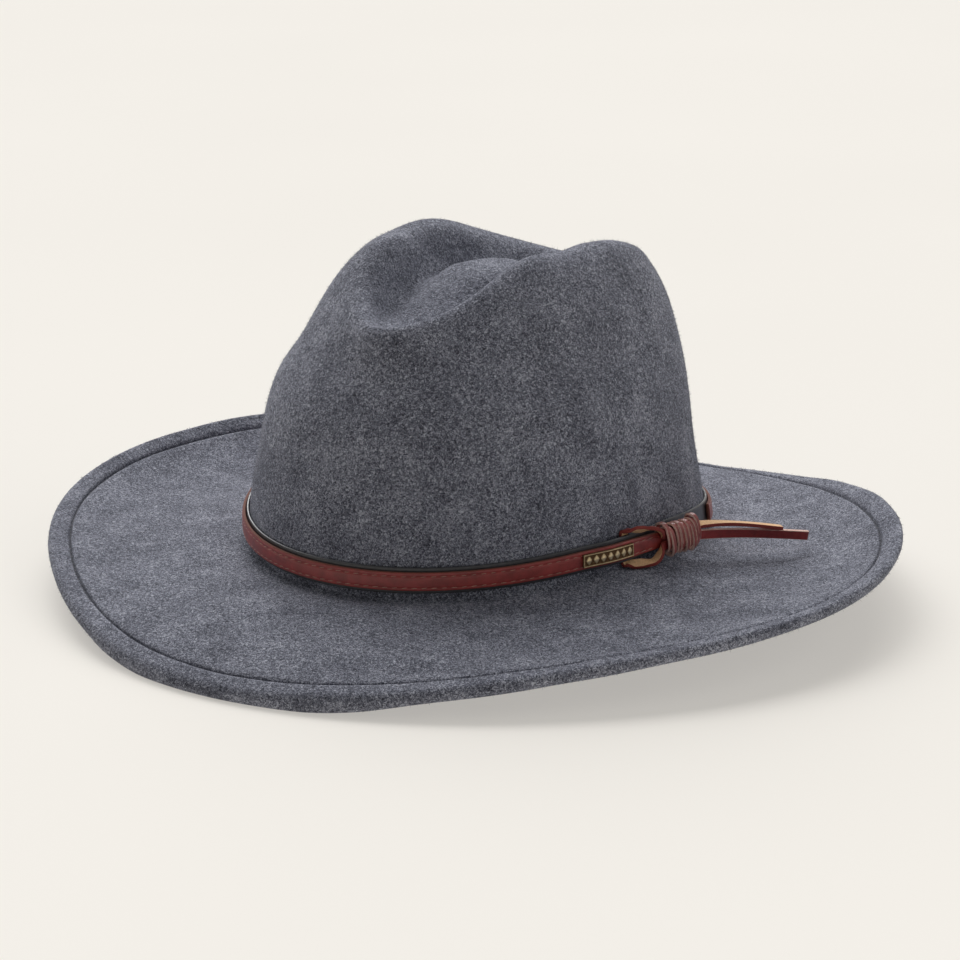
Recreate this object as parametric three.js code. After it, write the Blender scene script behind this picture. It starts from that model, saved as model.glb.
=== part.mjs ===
// An outdoor hat of wool felt, with a creased and pinched crown, a wide rolled brim with a
// folded, stitched edge, and a leather band that is closed by a lace loop and a wrapped knot.
// Millimetres, +Z up. The front of the hat faces -Y and the wearer's left side is +X.
// The origin is on the surface that the hat rests on, under the middle of the hat's box.

import * as THREE from 'three';

// The felt body: its length and width at the head opening, its height and its wall.
const headLength = 208;
const headWidth = 172;
const crownHeight = 111;
const crownBase = 23;
const feltWall = 2.5;
const breakRadius = 1.5;

// The brim in five directions: how far it reaches past the crown, how high its edge lies,
// how far its root drops below the root at the side, and how far it bows up between the two.
const brimReach = { front: 78, frontQuarter: 79, side: 89, backQuarter: 67, back: 66 };
const edgeHeight = { front: 0, frontQuarter: 12, side: 22, backQuarter: 20, back: 0 };
const breakDrop = { front: 5, frontQuarter: 2.5, side: 1.5, backQuarter: 9, back: 12 };
const brimBow = { front: 3, frontQuarter: -2, side: -8, backQuarter: -6, back: 3 };

// The edge of the brim, folded over and stitched down, and the height below which its
// underside is pressed flat where the hat rests.
const edgeFold = 8.5;
const edgeThickness = 5;
const edgeRounding = 1.5;
const edgeSwell = 0.5;
const grooveDepth = 0.7;
const grooveWidth = 1.6;
const restFlattening = 2;

// The soft dent pressed into each side of the crown, in degrees from the front.
const dentDepth = 3;
const dentHeight = 75;
const dentTall = 12;
const dentAngle = 72;
const dentSpreadAngle = 34;

// The gap between pieces that lie against each other.
const clearance = 0.3;

// The band: a black backing strip all round and a narrower, open strap on it.
const backingHeight = 10;
const backingThickness = 1;
const strapHeight = 7.1;
const strapThickness = 1.3;
const strapInset = 1.5;
const strapStartAngle = 118;
const strapLeavesAngle = 70.5;

// The lace that loops round the band, and its two free tails. The band stands high enough on
// the crown to let the lace pass below it, and is lifted off the crown where the lace passes
// behind it: fully over liftFlatAngle and less and less over liftSpreadAngle, in degrees.
const laceWidth = 3.8;
const laceThickness = 1.4;
const bandLift = laceThickness + 5 * clearance;
const liftFlatAngle = 4;
const liftSpreadAngle = 15;
const upperTail = { reach: 38, outwardAngle: 19, droop: 6, arch: 1 };
const lowerTail = { reach: 49, outwardAngle: 21, droop: 6, arch: 0 };

// The knot wound round the strap's end and the lace, in flat turns.
const knotStand = 17.5;
const knotLength = 18.5;
const knotTurns = 9;
const knotWall = 1.3;
const knotRib = 0.35;
const knotSides = 16;
const knotSquareness = 5;
const strapTuck = 4;
const tongueHeight = 6.5;

// The plate on the strap, with a row of raised beads.
const plateLength = 22.5;
const plateHeight = 4.8;
const plateThickness = 0.9;
const plateRaise = 0.5;
const plateBeads = 7;
const plateSetBack = 11;

// How finely the surfaces are divided.
const columns = 60;
const stepsBetweenRows = 2;

const degree = Math.PI / 180;
const up = new THREE.Vector3(0, 0, 1);
const directions = ['front', 'frontQuarter', 'side', 'backQuarter', 'back'];

// The crown from the bubble in the middle of its top, out over the ridge and down to its foot.
// front, side and back are shares of half the head length (front, back) and half the head
// width (side). frontFull and backFull say how full the oval is, where 2 is an ellipse. The
// rises are shares of the crown height, in the same directions as the brim's sizes.
const topRise = 0.925;
const crownRows = [
  { name: 'bubble', front: 0.2, side: 0.13, back: 0.22, frontFull: 2, backFull: 2,
    rise: { front: 0.885, frontQuarter: 0.905, side: 0.91, backQuarter: 0.905, back: 0.9 } },
  { name: 'valley', front: 0.52, side: 0.26, back: 0.5, frontFull: 1.9, backFull: 2.1,
    rise: { front: 0.785, frontQuarter: 0.84, side: 0.855, backQuarter: 0.84, back: 0.8 } },
  { name: 'lip', front: 0.65, side: 0.36, back: 0.65, frontFull: 1.6, backFull: 2.3,
    rise: { front: 0.805, frontQuarter: 0.945, side: 0.965, backQuarter: 0.95, back: 0.835 } },
  { name: 'ridge', front: 0.69, side: 0.43, back: 0.72, frontFull: 1.6, backFull: 2.4,
    rise: { front: 0.815, frontQuarter: 0.975, side: 1, backQuarter: 0.975, back: 0.84 } },
  { name: 'shoulder', front: 0.73, side: 0.555, back: 0.79, frontFull: 1.58, backFull: 2.55,
    rise: { front: 0.78, frontQuarter: 0.92, side: 0.972, backQuarter: 0.96, back: 0.81 } },
  { name: 'upperWall', front: 0.76, side: 0.725, back: 0.81, frontFull: 1.8, backFull: 2.5,
    rise: { front: 0.67, frontQuarter: 0.77, side: 0.8, backQuarter: 0.79, back: 0.7 } },
  { name: 'middleWall', front: 0.88, side: 0.885, back: 0.86, frontFull: 2, backFull: 2.1,
    rise: { front: 0.5, frontQuarter: 0.55, side: 0.56, backQuarter: 0.55, back: 0.5 } },
  { name: 'lowerWall', front: 0.95, side: 0.95, back: 0.9, frontFull: 2.05, backFull: 2,
    rise: { front: 0.29, frontQuarter: 0.31, side: 0.32, backQuarter: 0.31, back: 0.28 } },
  { name: 'bandTop', front: 0.99, side: 0.985, back: 0.965, frontFull: 2.05, backFull: 2,
    rise: { front: 0.13, frontQuarter: 0.13, side: 0.13, backQuarter: 0.13, back: 0.13 } },
  { name: 'foot', front: 1, side: 1, back: 1, frontFull: 2, backFull: 2,
    rise: { front: 0.018, frontQuarter: 0.018, side: 0.018, backQuarter: 0.018, back: 0.018 } },
];
const footRow = crownRows[crownRows.length - 1];

// The shares of the way out at which the brim has a ring of points.
const brimShares = [0.08, 0.22, 0.38, 0.54, 0.7, 0.83];

// A value in any direction round the hat, from its values in the five named directions. The
// angle starts at the front; both sides of the hat are alike.
function around(values, angle) {
  const last = directions.length - 1;
  const half = (place) => (place === 0 || place === last ? 0.5 : 1);
  let sum = 0;
  for (let wave = 0; wave <= last; wave += 1) {
    let part = 0;
    directions.forEach((name, place) => {
      part += half(place) * values[name] * Math.cos((wave * place * Math.PI) / last);
    });
    sum += half(wave) * part * (2 / last) * Math.cos(wave * angle);
  }
  return sum;
}

// The distance from the middle of the hat to a row's oval, in the direction of an angle.
function ovalRadius(row, angle) {
  const inFront = Math.cos(angle) > 0;
  const long = ((inFront ? row.front : row.back) * headLength) / 2;
  const wide = (row.side * headWidth) / 2;
  const full = inFront ? row.frontFull : row.backFull;
  return (Math.abs(Math.sin(angle) / wide) ** full + Math.abs(Math.cos(angle) / long) ** full) ** (-1 / full);
}

// A point in the direction of an angle, at a distance from the middle of the hat.
function pointAt(angle, radius, height) {
  return new THREE.Vector3(radius * Math.sin(angle), -radius * Math.cos(angle), height);
}

// The height of the brim's root, where the crown stands on it.
function breakHeight(angle) {
  return crownBase - around(breakDrop, angle);
}

// A smooth curve through a list of values, at a place counted in entries of the list.
function smoothThrough(values, place) {
  const last = values.length - 1;
  const start = Math.min(Math.floor(place), last - 1);
  const t = place - start;
  const a = values[start];
  const b = values[start + 1];
  const before = start > 0 ? values[start - 1] : 2 * a - b;
  const after = start + 2 <= last ? values[start + 2] : 2 * b - a;
  return (2 * t ** 3 - 3 * t ** 2 + 1) * a + ((t ** 3 - 2 * t ** 2 + t) * (b - before)) / 2
    + (3 * t ** 2 - 2 * t ** 3) * b + ((t ** 3 - t ** 2) * (after - a)) / 2;
}

// A smooth step from 0 to 1.
function easeIn(share) {
  return THREE.MathUtils.smoothstep(share, 0, 1);
}

// How far the side dent pushes the crown in, at an angle and a height above the crown's base.
function dentAt(angle, height) {
  const turned = Math.abs(Math.atan2(Math.sin(angle), Math.cos(angle))) / degree;
  const across = (turned - dentAngle) / dentSpreadAngle;
  const above = (height - dentHeight) / dentTall;
  return dentDepth * Math.exp(-(across ** 2) - above ** 2);
}

// A point on the outside of the crown, at an angle and a place in the list of rows.
function crownPoint(angle, place) {
  const rise = smoothThrough(crownRows.map((row) => around(row.rise, angle)), place);
  const oval = smoothThrough(crownRows.map((row) => ovalRadius(row, angle)), place);
  const drop = around(breakDrop, angle) * (1 - rise) ** 2;
  const radius = oval - dentAt(angle, rise * crownHeight);
  return pointAt(angle, radius, crownBase + rise * crownHeight - drop);
}

// A point on the upper side of the brim, at an angle and a share of the way to its edge.
function brimPoint(angle, share) {
  const root = breakHeight(angle);
  const edge = around(edgeHeight, angle) + edgeThickness - edgeSwell;
  const start = ovalRadius(footRow, angle) + breakRadius;
  const reach = around(brimReach, angle) - breakRadius;
  const bow = around(brimBow, angle) * 4 * share * (1 - share);
  return pointAt(angle, start + share * reach, root + (edge - root) * share + bow);
}

// A point on the brim a distance in from its edge, raised by a little.
function nearEdge(angle, inward, raise) {
  const point = brimPoint(angle, 1 - inward / (around(brimReach, angle) - breakRadius));
  point.z += raise;
  return point;
}

// A ring of points round the hat.
function ring(place) {
  return Array.from({ length: columns }, (_, step) => place((step / columns) * 2 * Math.PI));
}

// The rings of the felt's outer side: the crown, the tight curve at its foot, and the brim.
function outerRings() {
  const rings = [];
  for (let place = 0; place < crownRows.length; place += 1 / stepsBetweenRows) {
    if (place <= crownRows.length - 1) rings.push(ring((angle) => crownPoint(angle, place)));
  }
  [35, 90].forEach((turn) => {
    rings.push(ring((angle) => {
      const out = breakRadius * (1 - Math.cos(turn * degree));
      const high = breakRadius * (1 - Math.sin(turn * degree));
      return pointAt(angle, ovalRadius(footRow, angle) + out, breakHeight(angle) + high);
    }));
  });
  brimShares.forEach((share) => rings.push(ring((angle) => brimPoint(angle, share))));
  return rings;
}

// A height on the underside of the edge, pressed flat where it is low enough to rest.
function restedHeight(height) {
  const free = THREE.MathUtils.smoothstep(height, restFlattening, 3 * restFlattening);
  return Math.max(0, height - restFlattening * (1 - free));
}

// The rings of the folded edge: over its stitched groove, round the edge and back under it.
function edgeRings() {
  const halfRim = edgeThickness / 2 - edgeRounding;
  const over = [
    { inward: edgeFold + grooveWidth / 2, raise: 0 },
    { inward: edgeFold, raise: -grooveDepth },
    { inward: edgeFold - grooveWidth / 2, raise: edgeSwell / 2 },
    { inward: edgeFold / 2, raise: edgeSwell },
    { inward: edgeRounding, raise: edgeSwell / 2 },
    { inward: 0, raise: edgeSwell - edgeThickness / 2 + halfRim / 2 },
    { inward: 0, raise: edgeSwell - edgeThickness / 2 - halfRim / 2 },
  ];
  const under = [edgeRounding, edgeFold / 2, edgeFold - grooveWidth / 2];
  const rings = over.map(({ inward, raise }) => ring((angle) => nearEdge(angle, inward, raise)));
  under.forEach((inward) => {
    rings.push(ring((angle) => {
      const point = nearEdge(angle, inward, edgeSwell - edgeThickness);
      point.z = restedHeight(point.z);
      return point;
    }));
  });
  return rings;
}

// The same rings set in by the wall, along the surface's own slope.
function insetRings(rings, wall) {
  return rings.map((points, row) => points.map((point, column) => {
    const inner = rings[Math.max(row - 1, 0)][column];
    const outer = rings[Math.min(row + 1, rings.length - 1)][column];
    const behind = points[(column + columns - 1) % columns];
    const ahead = points[(column + 1) % columns];
    const along = outer.clone().sub(inner);
    const across = ahead.clone().sub(behind);
    return point.clone().addScaledVector(along.cross(across).normalize(), -wall);
  }));
}

// A closed solid from lists of points: each list is one ring, and a single point is a pole.
function solid(rings) {
  const positions = [];
  const starts = rings.map((points) => {
    const start = positions.length / 3;
    points.forEach((point) => positions.push(...point.toArray()));
    return start;
  });
  const faces = [];
  for (let row = 0; row + 1 < rings.length; row += 1) {
    const [here, next] = [rings[row].length, rings[row + 1].length];
    for (let step = 0; step < Math.max(here, next); step += 1) {
      const a = starts[row] + (step % here);
      const b = starts[row + 1] + (step % next);
      const c = starts[row + 1] + ((step + 1) % next);
      const d = starts[row] + ((step + 1) % here);
      if (next > 1) faces.push(a, b, c);
      if (here > 1) faces.push(a, c, d);
    }
  }
  const geometry = new THREE.BufferGeometry();
  geometry.setAttribute('position', new THREE.Float32BufferAttribute(positions, 3));
  geometry.setIndex(faces);
  geometry.computeVertexNormals();
  return geometry;
}

// A closed solid from equal sections placed one after another along a path: a ring if it
// comes back to its start, or a bar with a flat face at each end.
function sweptSolid(sections, comesBack) {
  const count = sections[0].length;
  const positions = sections.flat().flatMap((point) => point.toArray());
  const faces = [];
  const spans = comesBack ? sections.length : sections.length - 1;
  for (let span = 0; span < spans; span += 1) {
    const here = span * count;
    const next = ((span + 1) % sections.length) * count;
    for (let side = 0; side < count; side += 1) {
      const other = (side + 1) % count;
      faces.push(here + side, next + side, next + other);
      faces.push(here + side, next + other, here + other);
    }
  }
  const last = spans * count;
  for (let side = 1; !comesBack && side + 1 < count; side += 1) {
    faces.push(0, side, side + 1);
    faces.push(last, last + side + 1, last + side);
  }
  const geometry = new THREE.BufferGeometry();
  geometry.setAttribute('position', new THREE.Float32BufferAttribute(positions, 3));
  geometry.setIndex(faces);
  geometry.computeVertexNormals();
  return geometry;
}

// The felt body, one piece of felt with an open hollow for the head.
function feltBody() {
  const outer = outerRings();
  const top = pointAt(0, 0, crownBase + topRise * crownHeight);
  const innerTop = top.clone().addScaledVector(up, -feltWall);
  const inner = insetRings(outer, feltWall).reverse();
  return solid([[top], ...outer, ...edgeRings(), ...inner, [innerTop]]);
}

// The radius of the crown's outside at a height, near its foot.
function wallRadius(angle, height) {
  let [low, high] = [crownRows.length - 3, crownRows.length - 1];
  for (let halving = 0; halving < 20; halving += 1) {
    const middle = (low + high) / 2;
    if (crownPoint(angle, middle).z > height) low = middle;
    else high = middle;
  }
  return Math.hypot(...crownPoint(angle, low).toArray().slice(0, 2));
}

// How far the band is lifted off the crown by the lace that passes behind it.
function laceLift(angle) {
  const aside = Math.abs((angle / degree) % 360 - strapLeavesAngle);
  return (laceThickness + clearance) * easeIn((liftSpreadAngle - aside) / (liftSpreadAngle - liftFlatAngle));
}

// A rectangular section of the band: bottom and top heights above the brim's root, and the
// distances of its inner and outer faces from the crown.
function bandSection(angle, bottom, top, inner, outer) {
  const low = breakHeight(angle) + bottom;
  const high = breakHeight(angle) + top;
  const lift = laceLift(angle);
  const corner = (height, stand) => pointAt(angle, wallRadius(angle, height) + lift + stand, height);
  return [corner(low, inner), corner(low, outer), corner(high, outer), corner(high, inner)];
}

// The directions in which the band has a section, in degrees from the front.
const bandAngles = Array.from({ length: columns * 2 }, (_, step) => (step * 180) / columns);

const strapStand = clearance + backingThickness + clearance;
const strapBottom = bandLift + strapInset;
const strapTop = strapBottom + strapHeight;

// The black backing strip, a whole ring round the foot of the crown.
function bandBacking() {
  const top = bandLift + backingHeight;
  return sweptSolid(bandAngles.map((angle) => bandSection(
    angle * degree, bandLift, top, clearance, clearance + backingThickness)), true);
}

// Where the strap leaves the crown and runs straight on into the knot: its inner face at the
// middle of its height, the direction it runs in and the direction away from the crown.
function strapExit() {
  const angle = strapLeavesAngle * degree;
  const height = breakHeight(angle) + (strapBottom + strapTop) / 2;
  const innerFace = (turn) => pointAt(turn, wallRadius(turn, height) + laceLift(turn) + strapStand, height);
  const origin = innerFace(angle);
  const runs = innerFace(angle + degree).sub(innerFace(angle - degree)).setZ(0).normalize();
  const away = new THREE.Vector3().crossVectors(runs, up).normalize();
  const perRadian = innerFace(angle + degree).distanceTo(innerFace(angle - degree)) / (2 * degree);
  return { origin, runs, away, perRadian };
}

const exit = strapExit();

// A point beside the knot: how far along the strap's straight end, how far away from the
// crown from the strap's inner face, and how high above the middle of the strap.
function knotPoint(along, away, high) {
  return exit.origin.clone()
    .addScaledVector(exit.runs, along)
    .addScaledVector(exit.away, away)
    .addScaledVector(up, high);
}

// The leather strap: from behind the knot, once round the crown, and straight into the knot.
function bandStrap() {
  const last = 360 + strapLeavesAngle;
  const between = bandAngles.map((angle) => angle + 360 * (angle < strapStartAngle ? 1 : 0));
  const inside = between.filter((angle) => angle > strapStartAngle + 1 && angle < last - 1);
  const angles = [strapStartAngle, ...inside.sort((a, b) => a - b), last];
  const sections = angles.map((angle) => bandSection(
    angle * degree, strapBottom, strapTop, strapStand, strapStand + strapThickness));
  const end = knotStand + knotLength - strapTuck;
  [0.25, 0.6, 0.95, end / knotStand].forEach((share) => {
    const along = share * knotStand;
    const half = THREE.MathUtils.lerp(strapHeight, tongueHeight, easeIn(share)) / 2;
    sections.push([
      knotPoint(along, 0, -half),
      knotPoint(along, strapThickness, -half),
      knotPoint(along, strapThickness, half),
      knotPoint(along, 0, half),
    ]);
  });
  return sweptSolid(sections, false);
}

// The place along the band a distance before the strap leaves the crown, as an angle.
function angleBefore(distance) {
  return strapLeavesAngle * degree - distance / exit.perRadian;
}

// How much the crown leans away or back at a height above the middle of the strap.
function leanAt(high) {
  const angle = strapLeavesAngle * degree;
  return wallRadius(angle, exit.origin.z + high) - wallRadius(angle, exit.origin.z);
}

// The path of the lace: its middle in the knot's directions, and the direction of its width.
// It comes out of the knot above the strap, turns flat, passes over the band's top edge and
// down behind the band, and comes back below the band into the knot again.
function lacePath() {
  const beside = strapThickness + clearance + laceThickness / 2;
  const apart = (laceWidth + clearance) / 2;
  const middle = (strapBottom + strapTop) / 2;
  const overTop = bandLift + backingHeight - middle + clearance + laceThickness / 2;
  const underFoot = middle - bandLift + clearance * 2 + laceThickness / 2;
  const straight = strapHeight * 0.44;
  const behind = (high) => leanAt(high) - strapStand - laceThickness / 2;
  const loop = [
    { along: knotStand + knotLength, away: beside, high: apart, width: [0, 0, -1] },
    { along: knotStand, away: beside, high: apart, width: [0, 0, -1] },
    { along: knotStand * 0.6, away: beside + clearance * 4, high: overTop, width: [0, 0.8, -0.6] },
    { along: knotStand * 0.3, away: beside * 0.8, high: overTop + clearance, width: [0, 1, 0] },
    { along: knotStand * 0.06, away: 0, high: overTop + clearance * 2, width: [-0.5, 0.87, 0] },
    { along: -clearance, away: behind(overTop) + clearance, high: overTop, width: [-1, 0, 0] },
    { along: 0, away: behind(straight), high: straight, width: [-1, 0, 0] },
    { along: 0, away: behind(-straight), high: -straight, width: [-1, 0, 0] },
    { along: -clearance, away: behind(-underFoot) + clearance * 1.7, high: -underFoot, width: [-1, 0, 0] },
    { along: knotStand * 0.06, away: -clearance, high: -underFoot, width: [-0.5, 0.87, 0] },
    { along: knotStand * 0.3, away: beside * 0.8, high: -underFoot, width: [0, 1, 0] },
    { along: knotStand * 0.6, away: beside + clearance * 4, high: -underFoot, width: [0, 0.8, 0.6] },
    { along: knotStand, away: beside, high: -apart, width: [0, 0, 1] },
    { along: knotStand + knotLength, away: beside, high: -apart, width: [0, 0, 1] },
  ].map(({ along, away, high, width }) => ({
    point: knotPoint(along, away, high),
    width: knotPoint(...width).sub(exit.origin),
  }));
  const upper = tailPath(loop[0], upperTail, [0, 1, 0.15]).reverse();
  const lower = tailPath(loop[loop.length - 1], lowerTail, [0, 0.25, 1]);
  return [...upper, ...loop, ...lower];
}

// The path of a free tail, from where it leaves the knot to its end.
function tailPath(start, tail, endWidth) {
  const turn = tail.outwardAngle * degree;
  const middle = start.point.clone().addScaledVector(exit.runs, tail.reach * 0.4);
  middle.addScaledVector(up, tail.arch - tail.droop * 0.4);
  const end = start.point.clone().addScaledVector(exit.runs, tail.reach * Math.cos(turn));
  end.addScaledVector(exit.away, tail.reach * Math.sin(turn)).addScaledVector(up, -tail.droop);
  const curve = new THREE.QuadraticBezierCurve3(start.point, middle, end);
  const lastWidth = knotPoint(...endWidth).sub(exit.origin);
  return [0.15, 0.4, 0.7, 1].map((share) => ({
    point: curve.getPoint(share),
    width: start.width.clone().lerp(lastWidth, easeIn(share * 1.5)),
  }));
}

// The flat lace, swept along its path.
function knotLace() {
  const path = lacePath();
  const curve = new THREE.CatmullRomCurve3(path.map(({ point }) => point), false, 'centripetal');
  const perKey = 4;
  const steps = (path.length - 1) * perKey;
  const sections = [];
  for (let step = 0; step <= steps; step += 1) {
    const key = Math.min(Math.floor(step / perKey), path.length - 2);
    const share = step / perKey - key;
    const point = curve.getPoint(step / steps);
    const runs = curve.getTangent(step / steps);
    const width = path[key].width.clone().lerp(path[key + 1].width, share);
    const face = runs.clone().cross(width).normalize().multiplyScalar(laceThickness / 2);
    const side = face.clone().cross(runs).normalize().multiplyScalar(laceWidth / 2);
    sections.push([
      point.clone().sub(side).add(face),
      point.clone().add(side).add(face),
      point.clone().add(side).sub(face),
      point.clone().sub(side).sub(face),
    ]);
  }
  return sweptSolid(sections, false);
}

// The knot: a sleeve of flat turns round the strap's end and both arms of the lace. Each turn
// leans a little, as a wound lace does.
function knotWrap() {
  const pitch = knotLength / knotTurns;
  const middle = (strapThickness + clearance + laceThickness) / 2;
  const halfDeep = middle + clearance * 2;
  const halfTall = laceWidth + clearance * 3;
  const rib = [
    { share: 0.04, rise: 0 },
    { share: 0.2, rise: knotRib },
    { share: 0.8, rise: knotRib },
    { share: 0.96, rise: 0 },
  ];
  const profile = [];
  for (let turn = 0; turn < knotTurns; turn += 1) {
    rib.forEach(({ share, rise }) => {
      profile.push({ along: (turn + share) * pitch, outward: knotWall + rise });
    });
  }
  profile.reverse();
  profile.push({ along: 0, outward: 0 }, { along: knotLength, outward: 0 });
  const power = knotSquareness;
  const sections = Array.from({ length: knotSides }, (_, step) => {
    const angle = (step / knotSides) * 2 * Math.PI;
    const [side, rise] = [Math.cos(angle), Math.sin(angle)];
    const full = (Math.abs(side) ** power + Math.abs(rise) ** power) ** (-1 / power);
    return profile.map(({ along, outward }) => knotPoint(
      knotStand + along + (pitch / 2) * rise * Math.sign(outward),
      middle + side * (full * halfDeep + outward),
      rise * (full * halfTall + outward),
    ));
  });
  return sweptSolid(sections, true);
}

// The plate: a thin bar on the strap, with a row of raised beads between plain borders.
function bandPlate() {
  const perBead = 4;
  const low = (strapBottom + strapTop - plateHeight) / 2;
  const stand = strapStand + strapThickness + clearance;
  const steps = plateBeads * perBead;
  const sections = [];
  for (let step = 0; step <= steps; step += 1) {
    const share = step / steps;
    const angle = angleBefore(plateSetBack + plateLength * (0.5 - share));
    const bead = plateRaise * Math.sin(share * plateBeads * Math.PI) ** 2;
    const [bottomInner, bottomOuter, topOuter, topInner] = bandSection(
      angle, low, low + plateHeight, stand, stand + plateThickness);
    const away = bottomOuter.clone().sub(bottomInner).normalize();
    const face = [0.25, 0.5, 0.75].map((place) => {
      const point = bottomOuter.clone().lerp(topOuter, place);
      return point.addScaledVector(away, place === 0.5 ? bead : 0);
    });
    sections.push([bottomInner, bottomOuter, ...face, topOuter, topInner]);
  }
  return sweptSolid(sections, false);
}

const hat = new THREE.Group();

// Adds a named piece in its own colour and finish.
function addPiece(name, geometry, color, roughness, metalness) {
  const material = new THREE.MeshStandardMaterial({ color, roughness, metalness });
  const mesh = new THREE.Mesh(geometry, material);
  mesh.name = name;
  hat.add(mesh);
}

addPiece('felt_body', feltBody(), '#6b6d78', 0.95, 0);
addPiece('band_backing', bandBacking(), '#26262a', 0.6, 0);
addPiece('band_strap', bandStrap(), '#561f1e', 0.4, 0);
addPiece('band_plate', bandPlate(), '#8f7a4c', 0.4, 1);
addPiece('knot_lace', knotLace(), '#6e3a2c', 0.6, 0);
addPiece('knot_wrap', knotWrap(), '#7a4a42', 0.6, 0);

// The hat stands with the middle of its box over the origin.
const box = new THREE.Box3().setFromObject(hat);
hat.position.y = -(box.min.y + box.max.y) / 2;

export default hat;
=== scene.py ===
"""A wool felt hat with a leather band and a wrapped knot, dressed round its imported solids."""

import math

import bmesh
import bpy
import numpy as np
from bpy.props import FloatProperty, FloatVectorProperty, IntProperty, PointerProperty
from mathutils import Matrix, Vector, noise


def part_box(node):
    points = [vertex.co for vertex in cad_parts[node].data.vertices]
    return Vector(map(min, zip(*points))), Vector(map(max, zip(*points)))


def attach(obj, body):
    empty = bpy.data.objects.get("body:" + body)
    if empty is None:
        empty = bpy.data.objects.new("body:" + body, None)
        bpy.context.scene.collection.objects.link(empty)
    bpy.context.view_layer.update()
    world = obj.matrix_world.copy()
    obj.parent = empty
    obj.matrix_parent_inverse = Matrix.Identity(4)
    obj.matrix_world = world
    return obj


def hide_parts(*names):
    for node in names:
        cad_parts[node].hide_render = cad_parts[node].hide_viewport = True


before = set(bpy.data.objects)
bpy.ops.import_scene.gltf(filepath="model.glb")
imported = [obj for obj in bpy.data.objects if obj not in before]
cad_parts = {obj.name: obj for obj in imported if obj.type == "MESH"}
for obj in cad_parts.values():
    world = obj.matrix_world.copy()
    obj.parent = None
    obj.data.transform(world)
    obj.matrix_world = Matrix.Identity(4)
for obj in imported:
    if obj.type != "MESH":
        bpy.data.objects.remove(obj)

bl_info = {
    "name": "Felt Hat",
    "version": (1, 0, 0),
    "blender": (4, 5, 0),
    "location": "View3D > Sidebar > Felt Hat",
    "description": "Dresses a felt hat, its leather band and its knot round their solids",
    "category": "Add Mesh",
}

MM = 0.001
UP = np.array([0.0, 0.0, 1.0])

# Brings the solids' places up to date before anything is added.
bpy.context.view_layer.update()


def colour(code):
    """An sRGB hex colour as linear red, green, blue and alpha."""
    parts = [int(code[start:start + 2], 16) / 255 for start in (1, 3, 5)]
    linear = [p / 12.92 if p <= 0.04045 else ((p + 0.055) / 1.055) ** 2.4 for p in parts]
    return (*linear, 1.0)


def colour_setting(name, code, description):
    """A colour that a user can change, with a hex colour as its default."""
    return FloatVectorProperty(
        name=name, description=description, subtype="COLOR", size=4, min=0, max=1, default=colour(code))


def length_setting(name, millimetres, description):
    """A length that a user can change, with its default in millimetres."""
    return FloatProperty(
        name=name, description=description, default=millimetres * MM, min=0, precision=5, unit="LENGTH")


def angle_setting(name, degrees, description):
    """An angle that a user can change, with its default in degrees."""
    return FloatProperty(
        name=name, description=description, default=math.radians(degrees), subtype="ANGLE")


def strength_setting(name, default, description, most=100):
    """A light's strength that a user can change."""
    return FloatProperty(name=name, description=description, default=default, min=0, max=most)


def count_setting(name, default, description, least=1):
    """A number of like things that a user can change."""
    return IntProperty(name=name, description=description, default=default, min=least)


# Settings

class HatFeltSettings(bpy.types.PropertyGroup):
    dark: colour_setting("Dark fibres", "#303137", "Colour of the darkest fibres in the felt")
    middle: colour_setting("Middle fibres", "#6d6f7b", "Colour of most of the felt")
    light: colour_setting("Light fibres", "#cbcdd8", "Colour of the lightest fibres in the felt")
    # The felt in the seam's groove is painted darker: painted shade in the groove.
    seam: colour_setting("Seam's painted shade", "#3c3d44", "Colour of the felt in the seam's groove")
    thread: colour_setting("Seam's thread", "#3a3b42", "Colour of the seam's thread")
    lumps: length_setting("Lumps", 0.3, "Height of the soft unevenness of the felt")
    groove: length_setting("Groove", 0.3, "Depth that the seam near the edge pulls into the felt")
    stitch_pitch: length_setting("Seam pitch", 3.2, "Distance from one seam stitch to the next")
    stitch_length: length_setting("Seam stitch", 2.2, "Length of one seam stitch")
    stitch_width: length_setting("Seam's width", 0.3, "Width of the seam's thread")
    fuzz_length: length_setting("Fuzz length", 1.0, "Length of the loose fibres")
    fuzz_width: length_setting("Fuzz width", 0.12, "Width of the loose fibres")
    fuzz_count: count_setting("Fuzz count", 380000, "Loose fibres for each square metre", least=0)


class HatBandSettings(bpy.types.PropertyGroup):
    backing: colour_setting("Backing", "#3a3a3d", "Colour of the black backing leather")
    leather: colour_setting("Leather", "#963833", "Colour of the strap's polished leather")
    raw_edge: colour_setting("Raw edge", "#7a4a3d", "Colour of the strap's cut edges")
    thread: colour_setting("Thread", "#c08a78", "Colour of the strap's thread")
    corner: length_setting("Corner", 0.4, "Radius of the strips' corners")
    stitch_pitch: length_setting("Stitch pitch", 3.7, "Distance from one stitch to the next")
    stitch_length: length_setting("Stitch length", 2.6, "Length of one stitch")
    stitch_width: length_setting("Stitch width", 0.36, "Width of the thread")
    low_row: length_setting("Low row", 1.15, "Height of the lower row of stitches above the strap's foot")
    rows_apart: length_setting("Rows apart", 4.4, "Distance between the two rows of stitches")


class HatPlateSettings(bpy.types.PropertyGroup):
    bright: colour_setting("Worn brass", "#f4dcae", "Colour of the rubbed, raised brass")
    dark: colour_setting("Patina", "#6e543c", "Colour of the brass in its hollows")
    rim: length_setting("Rim", 0.35, "Width of the raised rim")
    relief: length_setting("Relief", 0.35, "Height of the beads. The rim is half as high")
    margin: length_setting("Margin", 0.6, "Bare length at both ends of the row of beads together")
    beads: count_setting("Beads", 7, "Number of raised beads")


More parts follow.
